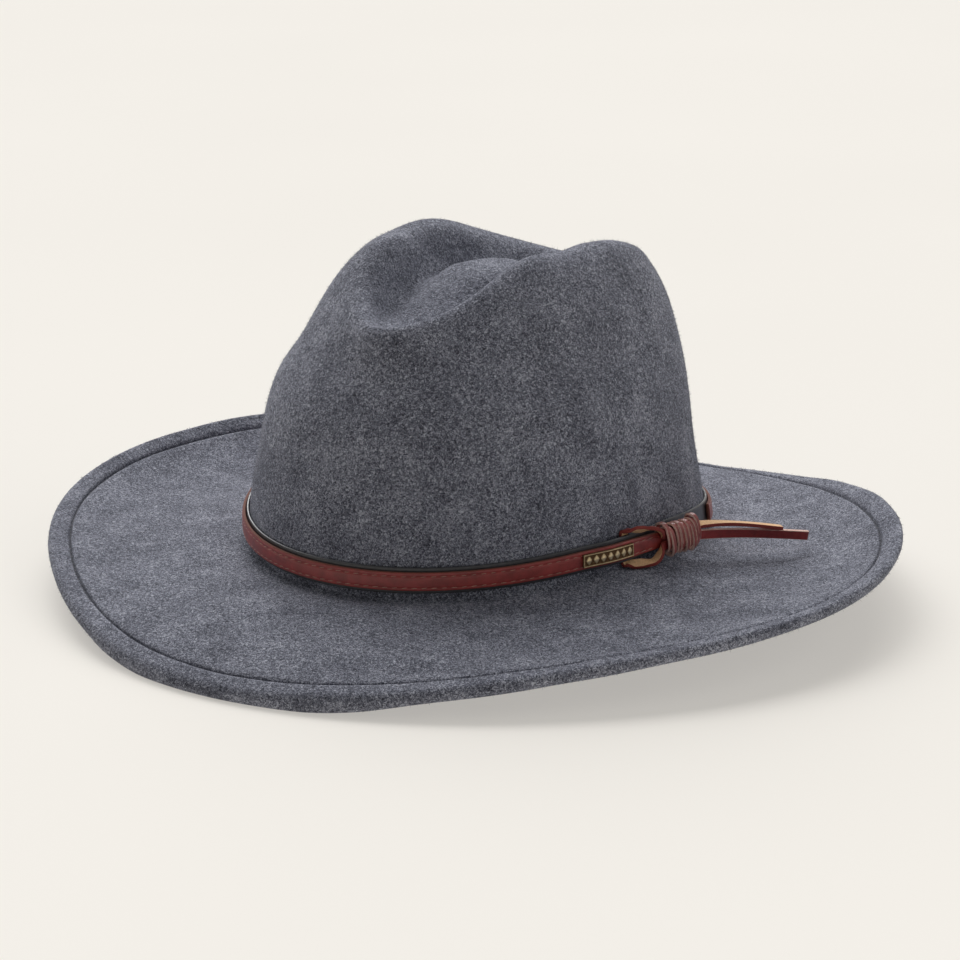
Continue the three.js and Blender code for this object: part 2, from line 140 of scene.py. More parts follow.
class HatKnotSettings(bpy.types.PropertyGroup):
    grain: colour_setting("Grain side", "#902c2a", "Colour of the lace's smooth side")
    flesh: colour_setting("Flesh side", "#f6c898", "Colour of the lace's rough side")
    # The lace's edges come in two copies: the dyed colour, and a pale cut edge made paler still by painted
    # highlight.
    edge: colour_setting("Dyed edge", "#96423b", "Colour of the loop's and the upper tail's edges")
    highlit_cut_edge: colour_setting("Highlit cut edge", "#ffd8c8", "Colour of the wound lace's and the lower tail's edges")
    wrap: colour_setting("Wrap", "#93453f", "Colour of the wound lace")
    turns: count_setting("Turns", 10, "Turns of lace round the knot")
    lace_thickness: length_setting("Lace thickness", 0.9, "Thickness of the wound lace")
    turn_width: length_setting("Turn width", 2.1, "Width of the wound lace")
    shingle: angle_setting("Shingle", 16, "How far each turn of lace tilts onto the next")
    lean: length_setting("Lean", 1.3, "How far a turn's top leans towards the loop from its middle")
    loop_twist: angle_setting("Loop's twist", 38, "How far the loop turns its flesh side outwards")
    tail_start_tilt: angle_setting("Tail's first tilt", 18, "Tilt of the upper tail at the knot")
    tail_end_tilt: angle_setting("Tail's last tilt", -1, "Tilt of the upper tail at its end")


class HatStageSettings(bpy.types.PropertyGroup):
    floor: colour_setting("Floor", "#f3efe8", "Colour of the floor")
    # The floor's glow is painted light, not a lamp: it keeps the shadows on the floor pale.
    glow: strength_setting("Glow", 0.45, "Share of the floor's brightness that is a painted glow", most=1)
    back: strength_setting("Back light", 2.1, "Strength of the soft light from behind")
    left: strength_setting("Left light", 1.5, "Strength of the soft light from behind on the left")
    right: strength_setting("Right light", 0.41, "Strength of the soft light from the right")
    sky: strength_setting("Fill light", 0.2, "Strength of the light from all round")
    azimuth: angle_setting("Azimuth", 32.3, "Camera's angle round the hat from its front")
    elevation: angle_setting("Elevation", 15.6, "Camera's angle above the floor")
    distance: length_setting("Distance", 1200, "Distance from the camera to the hat")


# Measures of points

def unit(vectors):
    """The directions of some vectors, each of length one."""
    return vectors / np.maximum(np.linalg.norm(vectors, axis=-1, keepdims=True), 1e-12)


def length_along(rows):
    """The distance from the first row to each row, along all of them. A row may be one point."""
    steps = np.linalg.norm(np.diff(rows, axis=0), axis=-1).reshape(len(rows) - 1, -1)
    return np.concatenate([[0], np.cumsum(steps.mean(axis=1))])


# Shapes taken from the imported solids

# Points of a solid that lie this close are one point.
MERGE_WITHIN = 0.002 * MM


def node_points(name):
    """The points of a solid, and for each point the points that an edge joins it to."""
    bm = bmesh.new()
    bm.from_mesh(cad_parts[name].data)
    bmesh.ops.remove_doubles(bm, verts=bm.verts[:], dist=MERGE_WITHIN)
    bm.verts.index_update()
    points = np.array([vert.co[:] for vert in bm.verts])
    joined = [{edge.other_vert(vert).index for edge in vert.link_edges} for vert in bm.verts]
    bm.free()
    return points, joined


def layers(joined, start):
    """Groups of points, each group one edge further from the start than the one before it."""
    seen = set(start)
    groups = [sorted(start)]
    while True:
        ahead = {near for point in groups[-1] for near in joined[point]} - seen
        if not ahead:
            return groups
        seen |= ahead
        groups.append(sorted(ahead))


def felt_rings():
    """The felt solid's rings of points, from the top of the crown over the edge and back inside.

    The first and the last are the two poles, repeated to the length of a ring.
    """
    points, joined = node_points("felt_body")
    columns = max(len(near) for near in joined)
    poles = [point for point, near in enumerate(joined) if len(near) == columns]
    top = max(poles, key=lambda pole: points[pole][2])
    axis = points[top]
    groups = layers(joined, {top})
    half_step = math.pi / columns
    rings = [np.repeat(points[groups[0]], columns, axis=0)]
    for group in groups[1:-1]:
        ring = points[group]
        turn = np.arctan2(ring[:, 0] - axis[0], axis[1] - ring[:, 1]) + half_step
        rings.append(ring[np.argsort(turn % (2 * math.pi))])
    rings.append(np.repeat(points[groups[-1]], columns, axis=0))
    return np.array(rings)


def corners_in_order(section, middle):
    """A strip's four corners: inner low, outer low, outer high and inner high."""
    low_first = section[np.argsort(section[:, 2])]
    distance = np.linalg.norm(low_first[:, :2] - middle[:2], axis=1)
    low = low_first[:2][np.argsort(distance[:2])]
    high = low_first[2:][np.argsort(distance[2:])]
    return np.array([low[0], low[1], high[1], high[0]])


def angle_round(points, middle):
    """The angle of each point round the hat's axis, from the front towards the wearer's left."""
    return np.arctan2(points[:, 0] - middle[0], middle[1] - points[:, 1]) % (2 * math.pi)


# A turn that keeps a closed band's first points together where the angles start, in radians.
SMALL_TURN = 0.01


def ring_sections(name, middle):
    """The four-cornered sections of a closed band, in order round the hat."""
    points, _ = node_points(name)
    turn = (angle_round(points, middle) + SMALL_TURN) % (2 * math.pi)
    ordered = points[np.argsort(turn)].reshape(-1, 4, 3)
    return np.array([corners_in_order(section, middle) for section in ordered])


def bar_sections(name, corners, end):
    """The sections of a bar between flat ends, from the end that lies nearest to a point.

    Each corner keeps its place in its section, which follows the one before it.
    """
    points, joined = node_points(name)
    first = int(np.argmin(np.linalg.norm(points - end, axis=1)))
    near = sorted(range(len(points)), key=lambda other: np.linalg.norm(points[other] - points[first]))
    candidates = near[:3 * corners]
    for size in range(len(candidates), corners - 1, -1):
        cap = set(candidates[:size])
        groups = layers(joined, cap)
        if len(cap) == corners and all(len(group) == corners for group in groups):
            return chained(points, groups)
    raise RuntimeError(f"the ends of {name} aren't sections of {corners} points")


def chained(points, groups):
    """Sections whose corners follow each other along the bar."""
    sections = []
    for group in groups:
        centre = points[group].mean(axis=0)
        corners = points[group] - centre
        _, _, plane = np.linalg.svd(corners)
        ring = corners[np.argsort(np.arctan2(corners @ plane[1], corners @ plane[0]))]
        if sections:
            before = sections[-1] - sections[-1].mean(axis=0)
            ways = (np.arange(len(ring)), np.arange(len(ring))[::-1])
            orders = [np.roll(way, shift) for way in ways for shift in range(len(ring))]
            ring = ring[min(orders, key=lambda order: np.abs(ring[order] - before).sum())]
        sections.append(ring + centre)
    return np.array(sections)


def smooth_rows(rows, finest, least=1, closed=False, before=None, after=None):
    """Rows of points on a smooth curve through the given rows, and each row's place among them.

    finest is the longest step along the curve, and least the fewest steps between two rows.
    before and after are the rows past the ends, where they are known.
    """
    rows = np.asarray(rows, float)
    if closed:
        padded = np.concatenate([rows[-1:], rows, rows[:2]])
    else:
        lead = 2 * rows[:1] - rows[1:2] if before is None else before[None]
        tail = 2 * rows[-1:] - rows[-2:-1] if after is None else after[None]
        padded = np.concatenate([lead, rows, tail])
    moves = np.diff(padded, axis=0)
    gaps = np.maximum(np.linalg.norm(moves, axis=-1, keepdims=True), 1e-9)
    slopes = moves / gaps
    tangents = (slopes[:-1] * gaps[1:] + slopes[1:] * gaps[:-1]) / (gaps[:-1] + gaps[1:])
    smooth = []
    places = []
    for span in range(len(tangents) - 1):
        start, end, gap = padded[span + 1], padded[span + 2], gaps[span + 1]
        steps = max(least, math.ceil(float(gap.mean()) / finest))
        for step in range(steps):
            t = step / steps
            smooth.append((2 * t ** 3 - 3 * t ** 2 + 1) * start + (3 * t ** 2 - 2 * t ** 3) * end
                          + (t ** 3 - 2 * t ** 2 + t) * gap * tangents[span]
                          + (t ** 3 - t ** 2) * gap * tangents[span + 1])
            places.append(span + t)
    if not closed:
        smooth.append(rows[-1])
        places.append(len(rows) - 1)
    return np.array(smooth), np.array(places)


# Meshes

def plain_object(name, points, faces, edges=()):
    """A mesh object at the origin, with its place in its mesh."""
    mesh = bpy.data.meshes.new(name)
    mesh.from_pydata([tuple(point) for point in points], list(edges), faces)
    piece = bpy.data.objects.new(name, mesh)
    bpy.context.scene.collection.objects.link(piece)
    return piece


def store(piece, label, values):
    """Keeps a number, or a direction, for each point of a mesh, for its material or a tree to read."""
    values = np.asarray(values, np.float32)
    kind, key = ("FLOAT_VECTOR", "vector") if values.ndim == 2 else ("FLOAT", "value")
    attribute = piece.data.attributes.new(label, kind, "POINT")
    attribute.data.foreach_set(key, values.ravel())


def outward(piece):
    """Turns the faces of a closed mesh outwards and shades them smooth."""
    bm = bmesh.new()
    bm.from_mesh(piece.data)
    bmesh.ops.recalc_face_normals(bm, faces=bm.faces[:])
    for face in bm.faces:
        face.smooth = True
    bm.to_mesh(piece.data)
    bm.free()
    return piece


def skin_between_poles(rows):
    """The points and faces of a skin whose first and last rows are single points."""
    columns = rows.shape[1]
    inner = rows[1:-1].reshape(-1, 3)
    points = np.concatenate([rows[:1, 0], inner, rows[-1:, 0]])
    last = len(points) - 1
    faces = []
    for row in range(len(rows) - 3):
        here = 1 + row * columns
        for step in range(columns):
            ahead = (step + 1) % columns
            faces.append((here + step, here + columns + step, here + columns + ahead, here + ahead))
    below = last - columns
    for step in range(columns):
        ahead = (step + 1) % columns
        faces.append((0, 1 + step, 1 + ahead))
        faces.append((last, below + ahead, below + step))
    return points, faces


def swept(name, sections, materials, faces_of, closed=False):
    """A strip from equal sections. faces_of gives the material's number for each side.

    It may give them for each span of the strip in turn.
    """
    count = sections.shape[1]
    spans = len(sections) if closed else len(sections) - 1
    faces_of = np.broadcast_to(np.asarray(faces_of), (spans, count))
    faces = []
    numbers = []
    for span in range(spans):
        here = span * count
        ahead = ((span + 1) % len(sections)) * count
        for side in range(count):
            other = (side + 1) % count
            faces.append((here + side, ahead + side, ahead + other, here + other))
            numbers.append(int(faces_of[span, side]))
    if not closed:
        last = (len(sections) - 1) * count
        faces.append(tuple(range(count)))
        faces.append(tuple(last + side for side in reversed(range(count))))
        numbers += [int(faces_of[0, 0]), int(faces_of[-1, 0])]
    piece = plain_object(name, sections.reshape(-1, 3), faces)
    for material in materials:
        piece.data.materials.append(material)
    piece.data.polygons.foreach_set("material_index", numbers)
    return outward(piece)


# A section's outline: the steps round each corner, and the points up its outer face.
CORNER_STEPS = 3
FACE_POINTS = 7
# The strip of each side of a section that counts as its edge, as a share of its height.
EDGE_SHARE = 0.04


def section_outline(thick, tall, corner, grooves=(), groove_width=0.0, groove_depth=0.0, crown=0.0):
    """The outline of a strip's section, as depths from its inner face and heights from its foot.

    Grooves run along its outer face, which bulges between its edges by crown. groove_width is
    from a groove's middle to its side.
    """
    outline = []
    arcs = [(thick - corner, corner, -90), (thick - corner, tall - corner, 0),
            (corner, tall - corner, 90), (corner, corner, 180)]
    for number, (depth, height, start) in enumerate(arcs):
        for step in range(CORNER_STEPS + 1):
            turn = math.radians(start + step * 90 / CORNER_STEPS)
            outline.append((depth + corner * math.cos(turn), height + corner * math.sin(turn)))
        if number == 0:
            heights = set(np.linspace(corner * 2, tall - corner * 2, FACE_POINTS))
            for groove in grooves:
                heights = {h for h in heights if abs(h - groove) > groove_width}
                heights |= {groove + share * groove_width for share in (-1, -0.5, 0, 0.5, 1)}
            for height in sorted(heights):
                sunk = max((1 - abs(height - groove) / groove_width for groove in grooves), default=0)
                bulge = crown * (1 - (2 * height / tall - 1) ** 2)
                outline.append((thick + bulge - groove_depth * max(0, sunk), height))
    return outline


def fit_outline(corners, outline, thick, tall):
    """A section outline laid into each four-cornered section."""
    depth = np.array([pair[0] for pair in outline])[None, :, None] / thick
    height = np.array([pair[1] for pair in outline])[None, :, None] / tall
    low = corners[:, 0:1] * (1 - depth) + corners[:, 1:2] * depth
    high = corners[:, 3:4] * (1 - depth) + corners[:, 2:3] * depth
    return low * (1 - height) + high * height


def strip_faces(outline, thick, tall, face, edge, back):
    """The material's number for each side of a section outline."""
    numbers = []
    margin = EDGE_SHARE * tall
    for here, ahead in zip(outline, outline[1:] + outline[:1]):
        depth, height = (here[0] + ahead[0]) / 2, (here[1] + ahead[1]) / 2
        if height < margin or height > tall - margin:
            numbers.append(edge)
        else:
            numbers.append(face if depth > thick / 2 else back)
    return numbers


def strip_size(corners):
    """The thickness and the height of four-cornered sections."""
    thick = np.linalg.norm(corners[:, 1] - corners[:, 0], axis=1)
    tall = np.linalg.norm(corners[:, 3] - corners[:, 0], axis=1)
    return float(np.median(thick)), float(np.median(tall))


def settle(piece, slot, *nodes):
    """Makes a finished piece ride on the hat and hides the solids it stands for."""
    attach(piece, "root")
    if nodes:
        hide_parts(*nodes)


# Node trees

def add_node(tree, kind, inputs=None, stops=(), **settings):
    """Adds a node with its settings, and fills its inputs with values or with links.

    stops are the colours of a ramp, each after its place on the ramp.
    """
    node = tree.nodes.new(kind)
    node.location = (len(tree.nodes) * 180 - 1800, (len(tree.nodes) % 4) * -160)
    for name, value in settings.items():
        setattr(node, name, value)
    for key, value in (inputs or {}).items():
        if isinstance(value, bpy.types.NodeSocket):
            tree.links.new(value, node.inputs[key])
        else:
            node.inputs[key].default_value = value
    if stops:
        elements = node.color_ramp.elements
        while len(elements) < len(stops):
            elements.new(0.5)
        for element, (spot, shade) in zip(elements, stops):
            element.position = spot
            element.color = shade
    return node


def toned(shade, share):
    """A colour made darker by a share below one, or lighter by a share above it."""
    return tuple(min(1, share * part) for part in shade[:3]) + (1,)


def new_material(name):
    """A material, its empty tree, and where each point lies on the object, for its patterns."""
    material = bpy.data.materials.new(name)
    material.use_nodes = True
    tree = material.node_tree
    tree.nodes.clear()
    return material, tree, add_node(tree, "ShaderNodeTexCoord").outputs["Object"]


def end_material(tree, colour_socket, bump=None, **inputs):
    """Ends a material in its shader, with its colour, its bump and the shader's other inputs."""
    values = {name.replace("_", " "): value for name, value in inputs.items()}
    values["Base Color"] = colour_socket
    if bump is not None:
        values["Normal"] = bump
    shader = add_node(tree, "ShaderNodeBsdfPrincipled", values)
    add_node(tree, "ShaderNodeOutputMaterial", {"Surface": shader.outputs["BSDF"]})


def felt_material(settings):
    """Carded and fulled wool felt, dyed before it was felted.

    Fibres of several greys lie in every direction, so the eye sees light and dark specks and a
    soft, dull surface. A real fibre is too fine to show, so the specks are drawn 0.9 mm apart.
    """
    material, tree, place = new_material("heathered wool felt")
    specks = add_node(tree, "ShaderNodeTexNoise", {
        "Vector": place, "Scale": 1 / (0.9 * MM), "Detail": 5, "Roughness": 0.7, "Distortion": 1.4})
    strands = add_node(tree, "ShaderNodeTexNoise", {
        "Vector": place, "Scale": 1 / (2.2 * MM), "Detail": 3, "Roughness": 0.6, "Distortion": 3.5})
    clouds = add_node(tree, "ShaderNodeTexNoise", {
        "Vector": place, "Scale": 1 / (14 * MM), "Detail": 3, "Roughness": 0.5})
    fine = add_node(tree, "ShaderNodeMath", {0: specks.outputs["Fac"], 1: 0.62}, operation="MULTIPLY")
    coarse = add_node(tree, "ShaderNodeMath", {
        0: strands.outputs["Fac"], 1: 0.28, 2: fine.outputs[0]}, operation="MULTIPLY_ADD")
    mixed = add_node(tree, "ShaderNodeMath", {
        0: clouds.outputs["Fac"], 1: 0.1, 2: coarse.outputs[0]}, operation="MULTIPLY_ADD")
    heather = add_node(tree, "ShaderNodeValToRGB", {"Fac": mixed.outputs[0]}, stops=[
        (0.4, settings.dark), (0.5, settings.middle), (0.61, settings.light)])
    # The seam's mark mixes the felt towards the seam's colour: painted shade in the groove.
    seam = add_node(tree, "ShaderNodeAttribute", attribute_name="seam")
    shaded = add_node(tree, "ShaderNodeMix", {
        "Factor": seam.outputs["Fac"], "A": heather.outputs["Color"], "B": settings.seam},
        data_type="RGBA")
    bump = add_node(tree, "ShaderNodeBump", {
        "Height": mixed.outputs[0], "Strength": 0.7, "Distance": 0.9 * MM})
    end_material(tree, shaded.outputs["Result"], bump.outputs["Normal"], Roughness=0.95,
                 Specular_IOR_Level=0.15, Sheen_Weight=0.12, Sheen_Roughness=0.55,
                 Sheen_Tint=colour("#c9ccda"))
    return material


def fuzz_material(settings):
    """Loose wool fibres that stand off the felt: dull, in its own greys, a veil over its outline.

    They are drawn thicker than real ones, so that they show.
    """
    material, tree, place = new_material("loose wool fibres")
    specks = add_node(tree, "ShaderNodeTexNoise", {"Vector": place, "Scale": 1 / (1.3 * MM), "Detail": 2})
    heather = add_node(tree, "ShaderNodeValToRGB", {"Fac": specks.outputs["Fac"]}, stops=[
        (0.4, settings.dark), (0.5, settings.middle), (0.6, settings.light)])
    end_material(tree, heather.outputs["Color"], Roughness=0.9, Specular_IOR_Level=0.1)
    return material


def thread_material(name, shade):
    """Twisted polyester sewing thread, with a dull shine.

    Its plies are too fine to show, so they are drawn as light and dark spots half a millimetre apart.
    """
    material, tree, place = new_material(name)
    plies = add_node(tree, "ShaderNodeTexNoise", {"Vector": place, "Scale": 1 / (0.5 * MM), "Detail": 2})
    tone = add_node(tree, "ShaderNodeValToRGB", {"Fac": plies.outputs["Fac"]}, stops=[
        (0.3, toned(shade, 0.6)), (0.7, tuple(shade))])
    bump = add_node(tree, "ShaderNodeBump", {
        "Height": plies.outputs["Fac"], "Strength": 0.4, "Distance": 0.1 * MM})
    end_material(tree, tone.outputs["Color"], bump.outputs["Normal"], Roughness=0.55, Sheen_Weight=0.1)
    return material


def leather_material(name, shade, grain=0.5, roughness=0.35, coat=0.3, mottle=0.3, depth=0.05):
    """Vegetable-tanned leather: fine pores and creases of the grain under a thin wax or finish.

    The colour is uneven over some millimetres where the dye took more or less. grain is the
    distance between pores and depth how deep they are, both in millimetres, coarser than real
    ones so that they show.
    """
    material, tree, place = new_material(name)
    pores = add_node(tree, "ShaderNodeTexVoronoi", {"Vector": place, "Scale": 1 / (grain * MM)},
                     feature="DISTANCE_TO_EDGE")
    clouds = add_node(tree, "ShaderNodeTexNoise", {
        "Vector": place, "Scale": 1 / (4 * MM), "Detail": 4, "Roughness": 0.6})
    tone = add_node(tree, "ShaderNodeValToRGB", {"Fac": clouds.outputs["Fac"]}, stops=[
        (0.3, toned(shade, 1 - mottle)), (0.5, tuple(shade)), (0.75, toned(shade, 1 + mottle))])
    bump = add_node(tree, "ShaderNodeBump", {
        "Height": pores.outputs["Distance"], "Strength": 0.25, "Distance": depth * MM})
    end_material(tree, tone.outputs["Color"], bump.outputs["Normal"], Roughness=roughness,
                 Coat_Weight=coat, Coat_Roughness=0.25, Specular_IOR_Level=0.5)
    return material


def raw_leather_material(name, shade):
    """The cut edge or flesh side of leather: bare, felted fibres, paler than the dyed grain."""
    material, tree, place = new_material(name)
    fibres = add_node(tree, "ShaderNodeTexNoise", {
        "Vector": place, "Scale": 1 / (0.6 * MM), "Detail": 4, "Roughness": 0.7, "Distortion": 1})
    tone = add_node(tree, "ShaderNodeValToRGB", {"Fac": fibres.outputs["Fac"]}, stops=[
        (0.3, toned(shade, 0.62)), (0.62, tuple(shade))])
    bump = add_node(tree, "ShaderNodeBump", {
        "Height": fibres.outputs["Fac"], "Strength": 0.5, "Distance": 0.2 * MM})
    end_material(tree, tone.outputs["Color"], bump.outputs["Normal"], Roughness=0.8,
                 Specular_IOR_Level=0.3)
    return material


def brass_material(settings):
    """Die-struck brass with an antique finish: dark patina in the hollows, rubbed bright on top."""
    material, tree, place = new_material("antique brass")
    relief = add_node(tree, "ShaderNodeAttribute", attribute_name="relief")
    stains = add_node(tree, "ShaderNodeTexNoise", {"Vector": place, "Scale": 1 / (0.8 * MM), "Detail": 4})
    rubbed = add_node(tree, "ShaderNodeMath", {
        0: stains.outputs["Fac"], 1: 0.5, 2: relief.outputs["Fac"]}, operation="MULTIPLY_ADD")
    tone = add_node(tree, "ShaderNodeValToRGB", {"Fac": rubbed.outputs[0]}, stops=[
        (0.3, settings.dark), (1.0, settings.bright)])
    rough = add_node(tree, "ShaderNodeMapRange", {
        "Value": rubbed.outputs[0], "From Min": 0.3, "From Max": 1.1, "To Min": 0.6, "To Max": 0.28})
    bump = add_node(tree, "ShaderNodeBump", {
        "Height": stains.outputs["Fac"], "Strength": 0.3, "Distance": 0.06 * MM})
    end_material(tree, tone.outputs["Color"], bump.outputs["Normal"],
                 Roughness=rough.outputs["Result"], Metallic=1.0)
    return material


def floor_material(settings):
    """A sheet of matt white acrylic with a painted glow, not a lamp, that keeps its shadows pale."""
    material, tree, place = new_material("matt lit acrylic")
    clouds = add_node(tree, "ShaderNodeTexNoise", {"Vector": place, "Scale": 1 / (400 * MM), "Detail": 1})
    tone = add_node(tree, "ShaderNodeValToRGB", {"Fac": clouds.outputs["Fac"]}, stops=[
        (0.3, toned(settings.floor, 0.985 - settings.glow)),
        (0.7, toned(settings.floor, 1 - settings.glow))])
    # The emission is a painted glow that keeps the floor's shadows pale and lights the hat from below.
    end_material(tree, tone.outputs["Color"], Roughness=1.0, Specular_IOR_Level=0.0,
                 Emission_Color=tuple(settings.floor), Emission_Strength=settings.glow)
    return material


def new_tree(name, inputs):
    """A Geometry Nodes tree with named inputs. inputs maps a name to its socket type."""
    tree = bpy.data.node_groups.new(name, "GeometryNodeTree")
    tree.interface.new_socket("Geometry", in_out="INPUT", socket_type="NodeSocketGeometry")
    for label, kind in inputs.items():
        tree.interface.new_socket(label, in_out="INPUT", socket_type=kind)
    tree.interface.new_socket("Geometry", in_out="OUTPUT", socket_type="NodeSocketGeometry")
    return tree, add_node(tree, "NodeGroupInput").outputs


def end_tree(tree, instances, material, selection=None, selected_material=None):
    """Ends a tree: realizes its instances, sets the materials and gives the result out."""
    real = add_node(tree, "GeometryNodeRealizeInstances", {"Geometry": instances})
    painted = add_node(tree, "GeometryNodeSetMaterial", {
        "Geometry": real.outputs["Geometry"], "Material": material})
    if selection is not None:
        painted = add_node(tree, "GeometryNodeSetMaterial", {
            "Geometry": painted.outputs["Geometry"], "Selection": selection,
            "Material": selected_material})
    add_node(tree, "NodeGroupOutput", {"Geometry": painted.outputs["Geometry"]})


def run_tree(name, source, tree, values):
    """Runs a tree on an object and gives its result as a plain mesh object of its own."""
    modifier = source.modifiers.new(tree.name, "NODES")
    modifier.node_group = tree
    for item in tree.interface.items_tree:
        if item.in_out == "INPUT" and item.name in values:
            modifier[item.identifier] = values[item.name]
    bpy.context.view_layer.update()
    depsgraph = bpy.context.evaluated_depsgraph_get()
    mesh = bpy.data.meshes.new_from_object(
        source.evaluated_get(depsgraph), preserve_all_data_layers=True, depsgraph=depsgraph)
    source.modifiers.remove(modifier)
    if not len(mesh.polygons):
        raise RuntimeError(f"the tree {tree.name} gave nothing for {name}")
    mesh.name = name
    piece = bpy.data.objects.new(name, mesh)
    bpy.context.scene.collection.objects.link(piece)
    return piece


def stitch_tree():
    """Stitches of thread along a line of points, each lying flat on the surface below it."""
    tree, given = new_tree("stitches", {
        "Pitch": "NodeSocketFloat", "Length": "NodeSocketFloat", "Width": "NodeSocketFloat",
        "Slant": "NodeSocketFloat", "Thread": "NodeSocketMaterial"})
    line = add_node(tree, "GeometryNodeMeshToCurve", {"Mesh": given["Geometry"]})
    spaced = add_node(tree, "GeometryNodeResampleCurve", {
        "Curve": line.outputs["Curve"], "Length": given["Pitch"]}, mode="LENGTH")
    facing = add_node(tree, "GeometryNodeInputNamedAttribute", {"Name": "facing"}, data_type="FLOAT_VECTOR")
    runs = add_node(tree, "GeometryNodeInputTangent")
    upright = add_node(tree, "FunctionNodeAlignRotationToVector", {
        "Vector": facing.outputs["Attribute"]}, axis="Z")
    turned = add_node(tree, "FunctionNodeAlignRotationToVector", {
        "Rotation": upright.outputs["Rotation"], "Vector": runs.outputs["Tangent"]},
        axis="X", pivot_axis="Z")
    uneven = add_node(tree, "FunctionNodeRandomValue", {2: -0.05, 3: 0.05, "Seed": 7})
    slant = add_node(tree, "ShaderNodeMath", {0: given["Slant"], 1: uneven.outputs[1]}, operation="ADD")
    lean = add_node(tree, "ShaderNodeCombineXYZ", {"Z": slant.outputs[0]})
    leaning = add_node(tree, "FunctionNodeRotateRotation", {
        "Rotation": turned.outputs["Rotation"], "Rotate By": lean.outputs[0]}, rotation_space="LOCAL")
    ball = add_node(tree, "GeometryNodeMeshUVSphere", {"Segments": 8, "Rings": 6, "Radius": 0.5})
    size = add_node(tree, "ShaderNodeCombineXYZ", {
        "X": given["Length"], "Y": given["Width"], "Z": given["Width"]})
    thread = add_node(tree, "GeometryNodeTransform", {
        "Geometry": ball.outputs["Mesh"], "Scale": size.outputs[0]})
    soft = add_node(tree, "GeometryNodeSetShadeSmooth", {"Geometry": thread.outputs["Geometry"]})
    lengths = add_node(tree, "FunctionNodeRandomValue", {2: 0.92, 3: 1.08, "Seed": 3})
    stitches = add_node(tree, "GeometryNodeInstanceOnPoints", {
        "Points": spaced.outputs["Curve"], "Instance": soft.outputs["Geometry"],
        "Rotation": leaning.outputs["Rotation"], "Scale": lengths.outputs[1]})
    end_tree(tree, stitches.outputs["Instances"], given["Thread"])
    return tree


# How far a loose fibre leans off the felt, two ways, and turns round its root, in radians.
FIBRE_LEAN = (1.1, 1.1, 3.1)


def fuzz_tree():
    """Loose fibres scattered over the felt's outer side, each leaning its own way."""
    tree, given = new_tree("loose fibres", {
        "Density": "NodeSocketFloat", "Length": "NodeSocketFloat", "Width": "NodeSocketFloat",
        "Fibre": "NodeSocketMaterial"})
    outside = add_node(tree, "GeometryNodeInputNamedAttribute", {"Name": "outside"}, data_type="FLOAT")
    density = add_node(tree, "ShaderNodeMath", {
        0: given["Density"], 1: outside.outputs["Attribute"]}, operation="MULTIPLY")
    roots = add_node(tree, "GeometryNodeDistributePointsOnFaces", {
        "Mesh": given["Geometry"], "Density": density.outputs[0], "Seed": 5})
    tilt = add_node(tree, "FunctionNodeRandomValue", {
        0: tuple(-turn for turn in FIBRE_LEAN), 1: FIBRE_LEAN, "Seed": 11}, data_type="FLOAT_VECTOR")
    leaning = add_node(tree, "FunctionNodeRotateRotation", {
        "Rotation": roots.outputs["Rotation"], "Rotate By": tilt.outputs[0]}, rotation_space="LOCAL")
    blade = add_node(tree, "GeometryNodeMeshCone", {
        "Vertices": 3, "Radius Top": 0, "Radius Bottom": 0.5, "Depth": 1}, fill_type="NONE")
    size = add_node(tree, "ShaderNodeCombineXYZ", {
        "X": given["Width"], "Y": given["Width"], "Z": given["Length"]})
    fibre = add_node(tree, "GeometryNodeTransform", {
        "Geometry": blade.outputs["Mesh"], "Scale": size.outputs[0]})
    lengths = add_node(tree, "FunctionNodeRandomValue", {2: 0.4, 3: 1.3, "Seed": 13})
    fibres = add_node(tree, "GeometryNodeInstanceOnPoints", {
        "Points": roots.outputs["Points"], "Instance": fibre.outputs["Geometry"],
        "Rotation": leaning.outputs["Rotation"], "Scale": lengths.outputs[1]})
    end_tree(tree, fibres.outputs["Instances"], given["Fibre"])
    return tree


# Where the wound lace faces along the knot by more than this, its cut edge shows, in a pale colour that is
# partly painted highlight.
EDGE_SLANT = 0.45
# How far each turn is out of true, in radians.
TURN_UNEVEN = 0.012


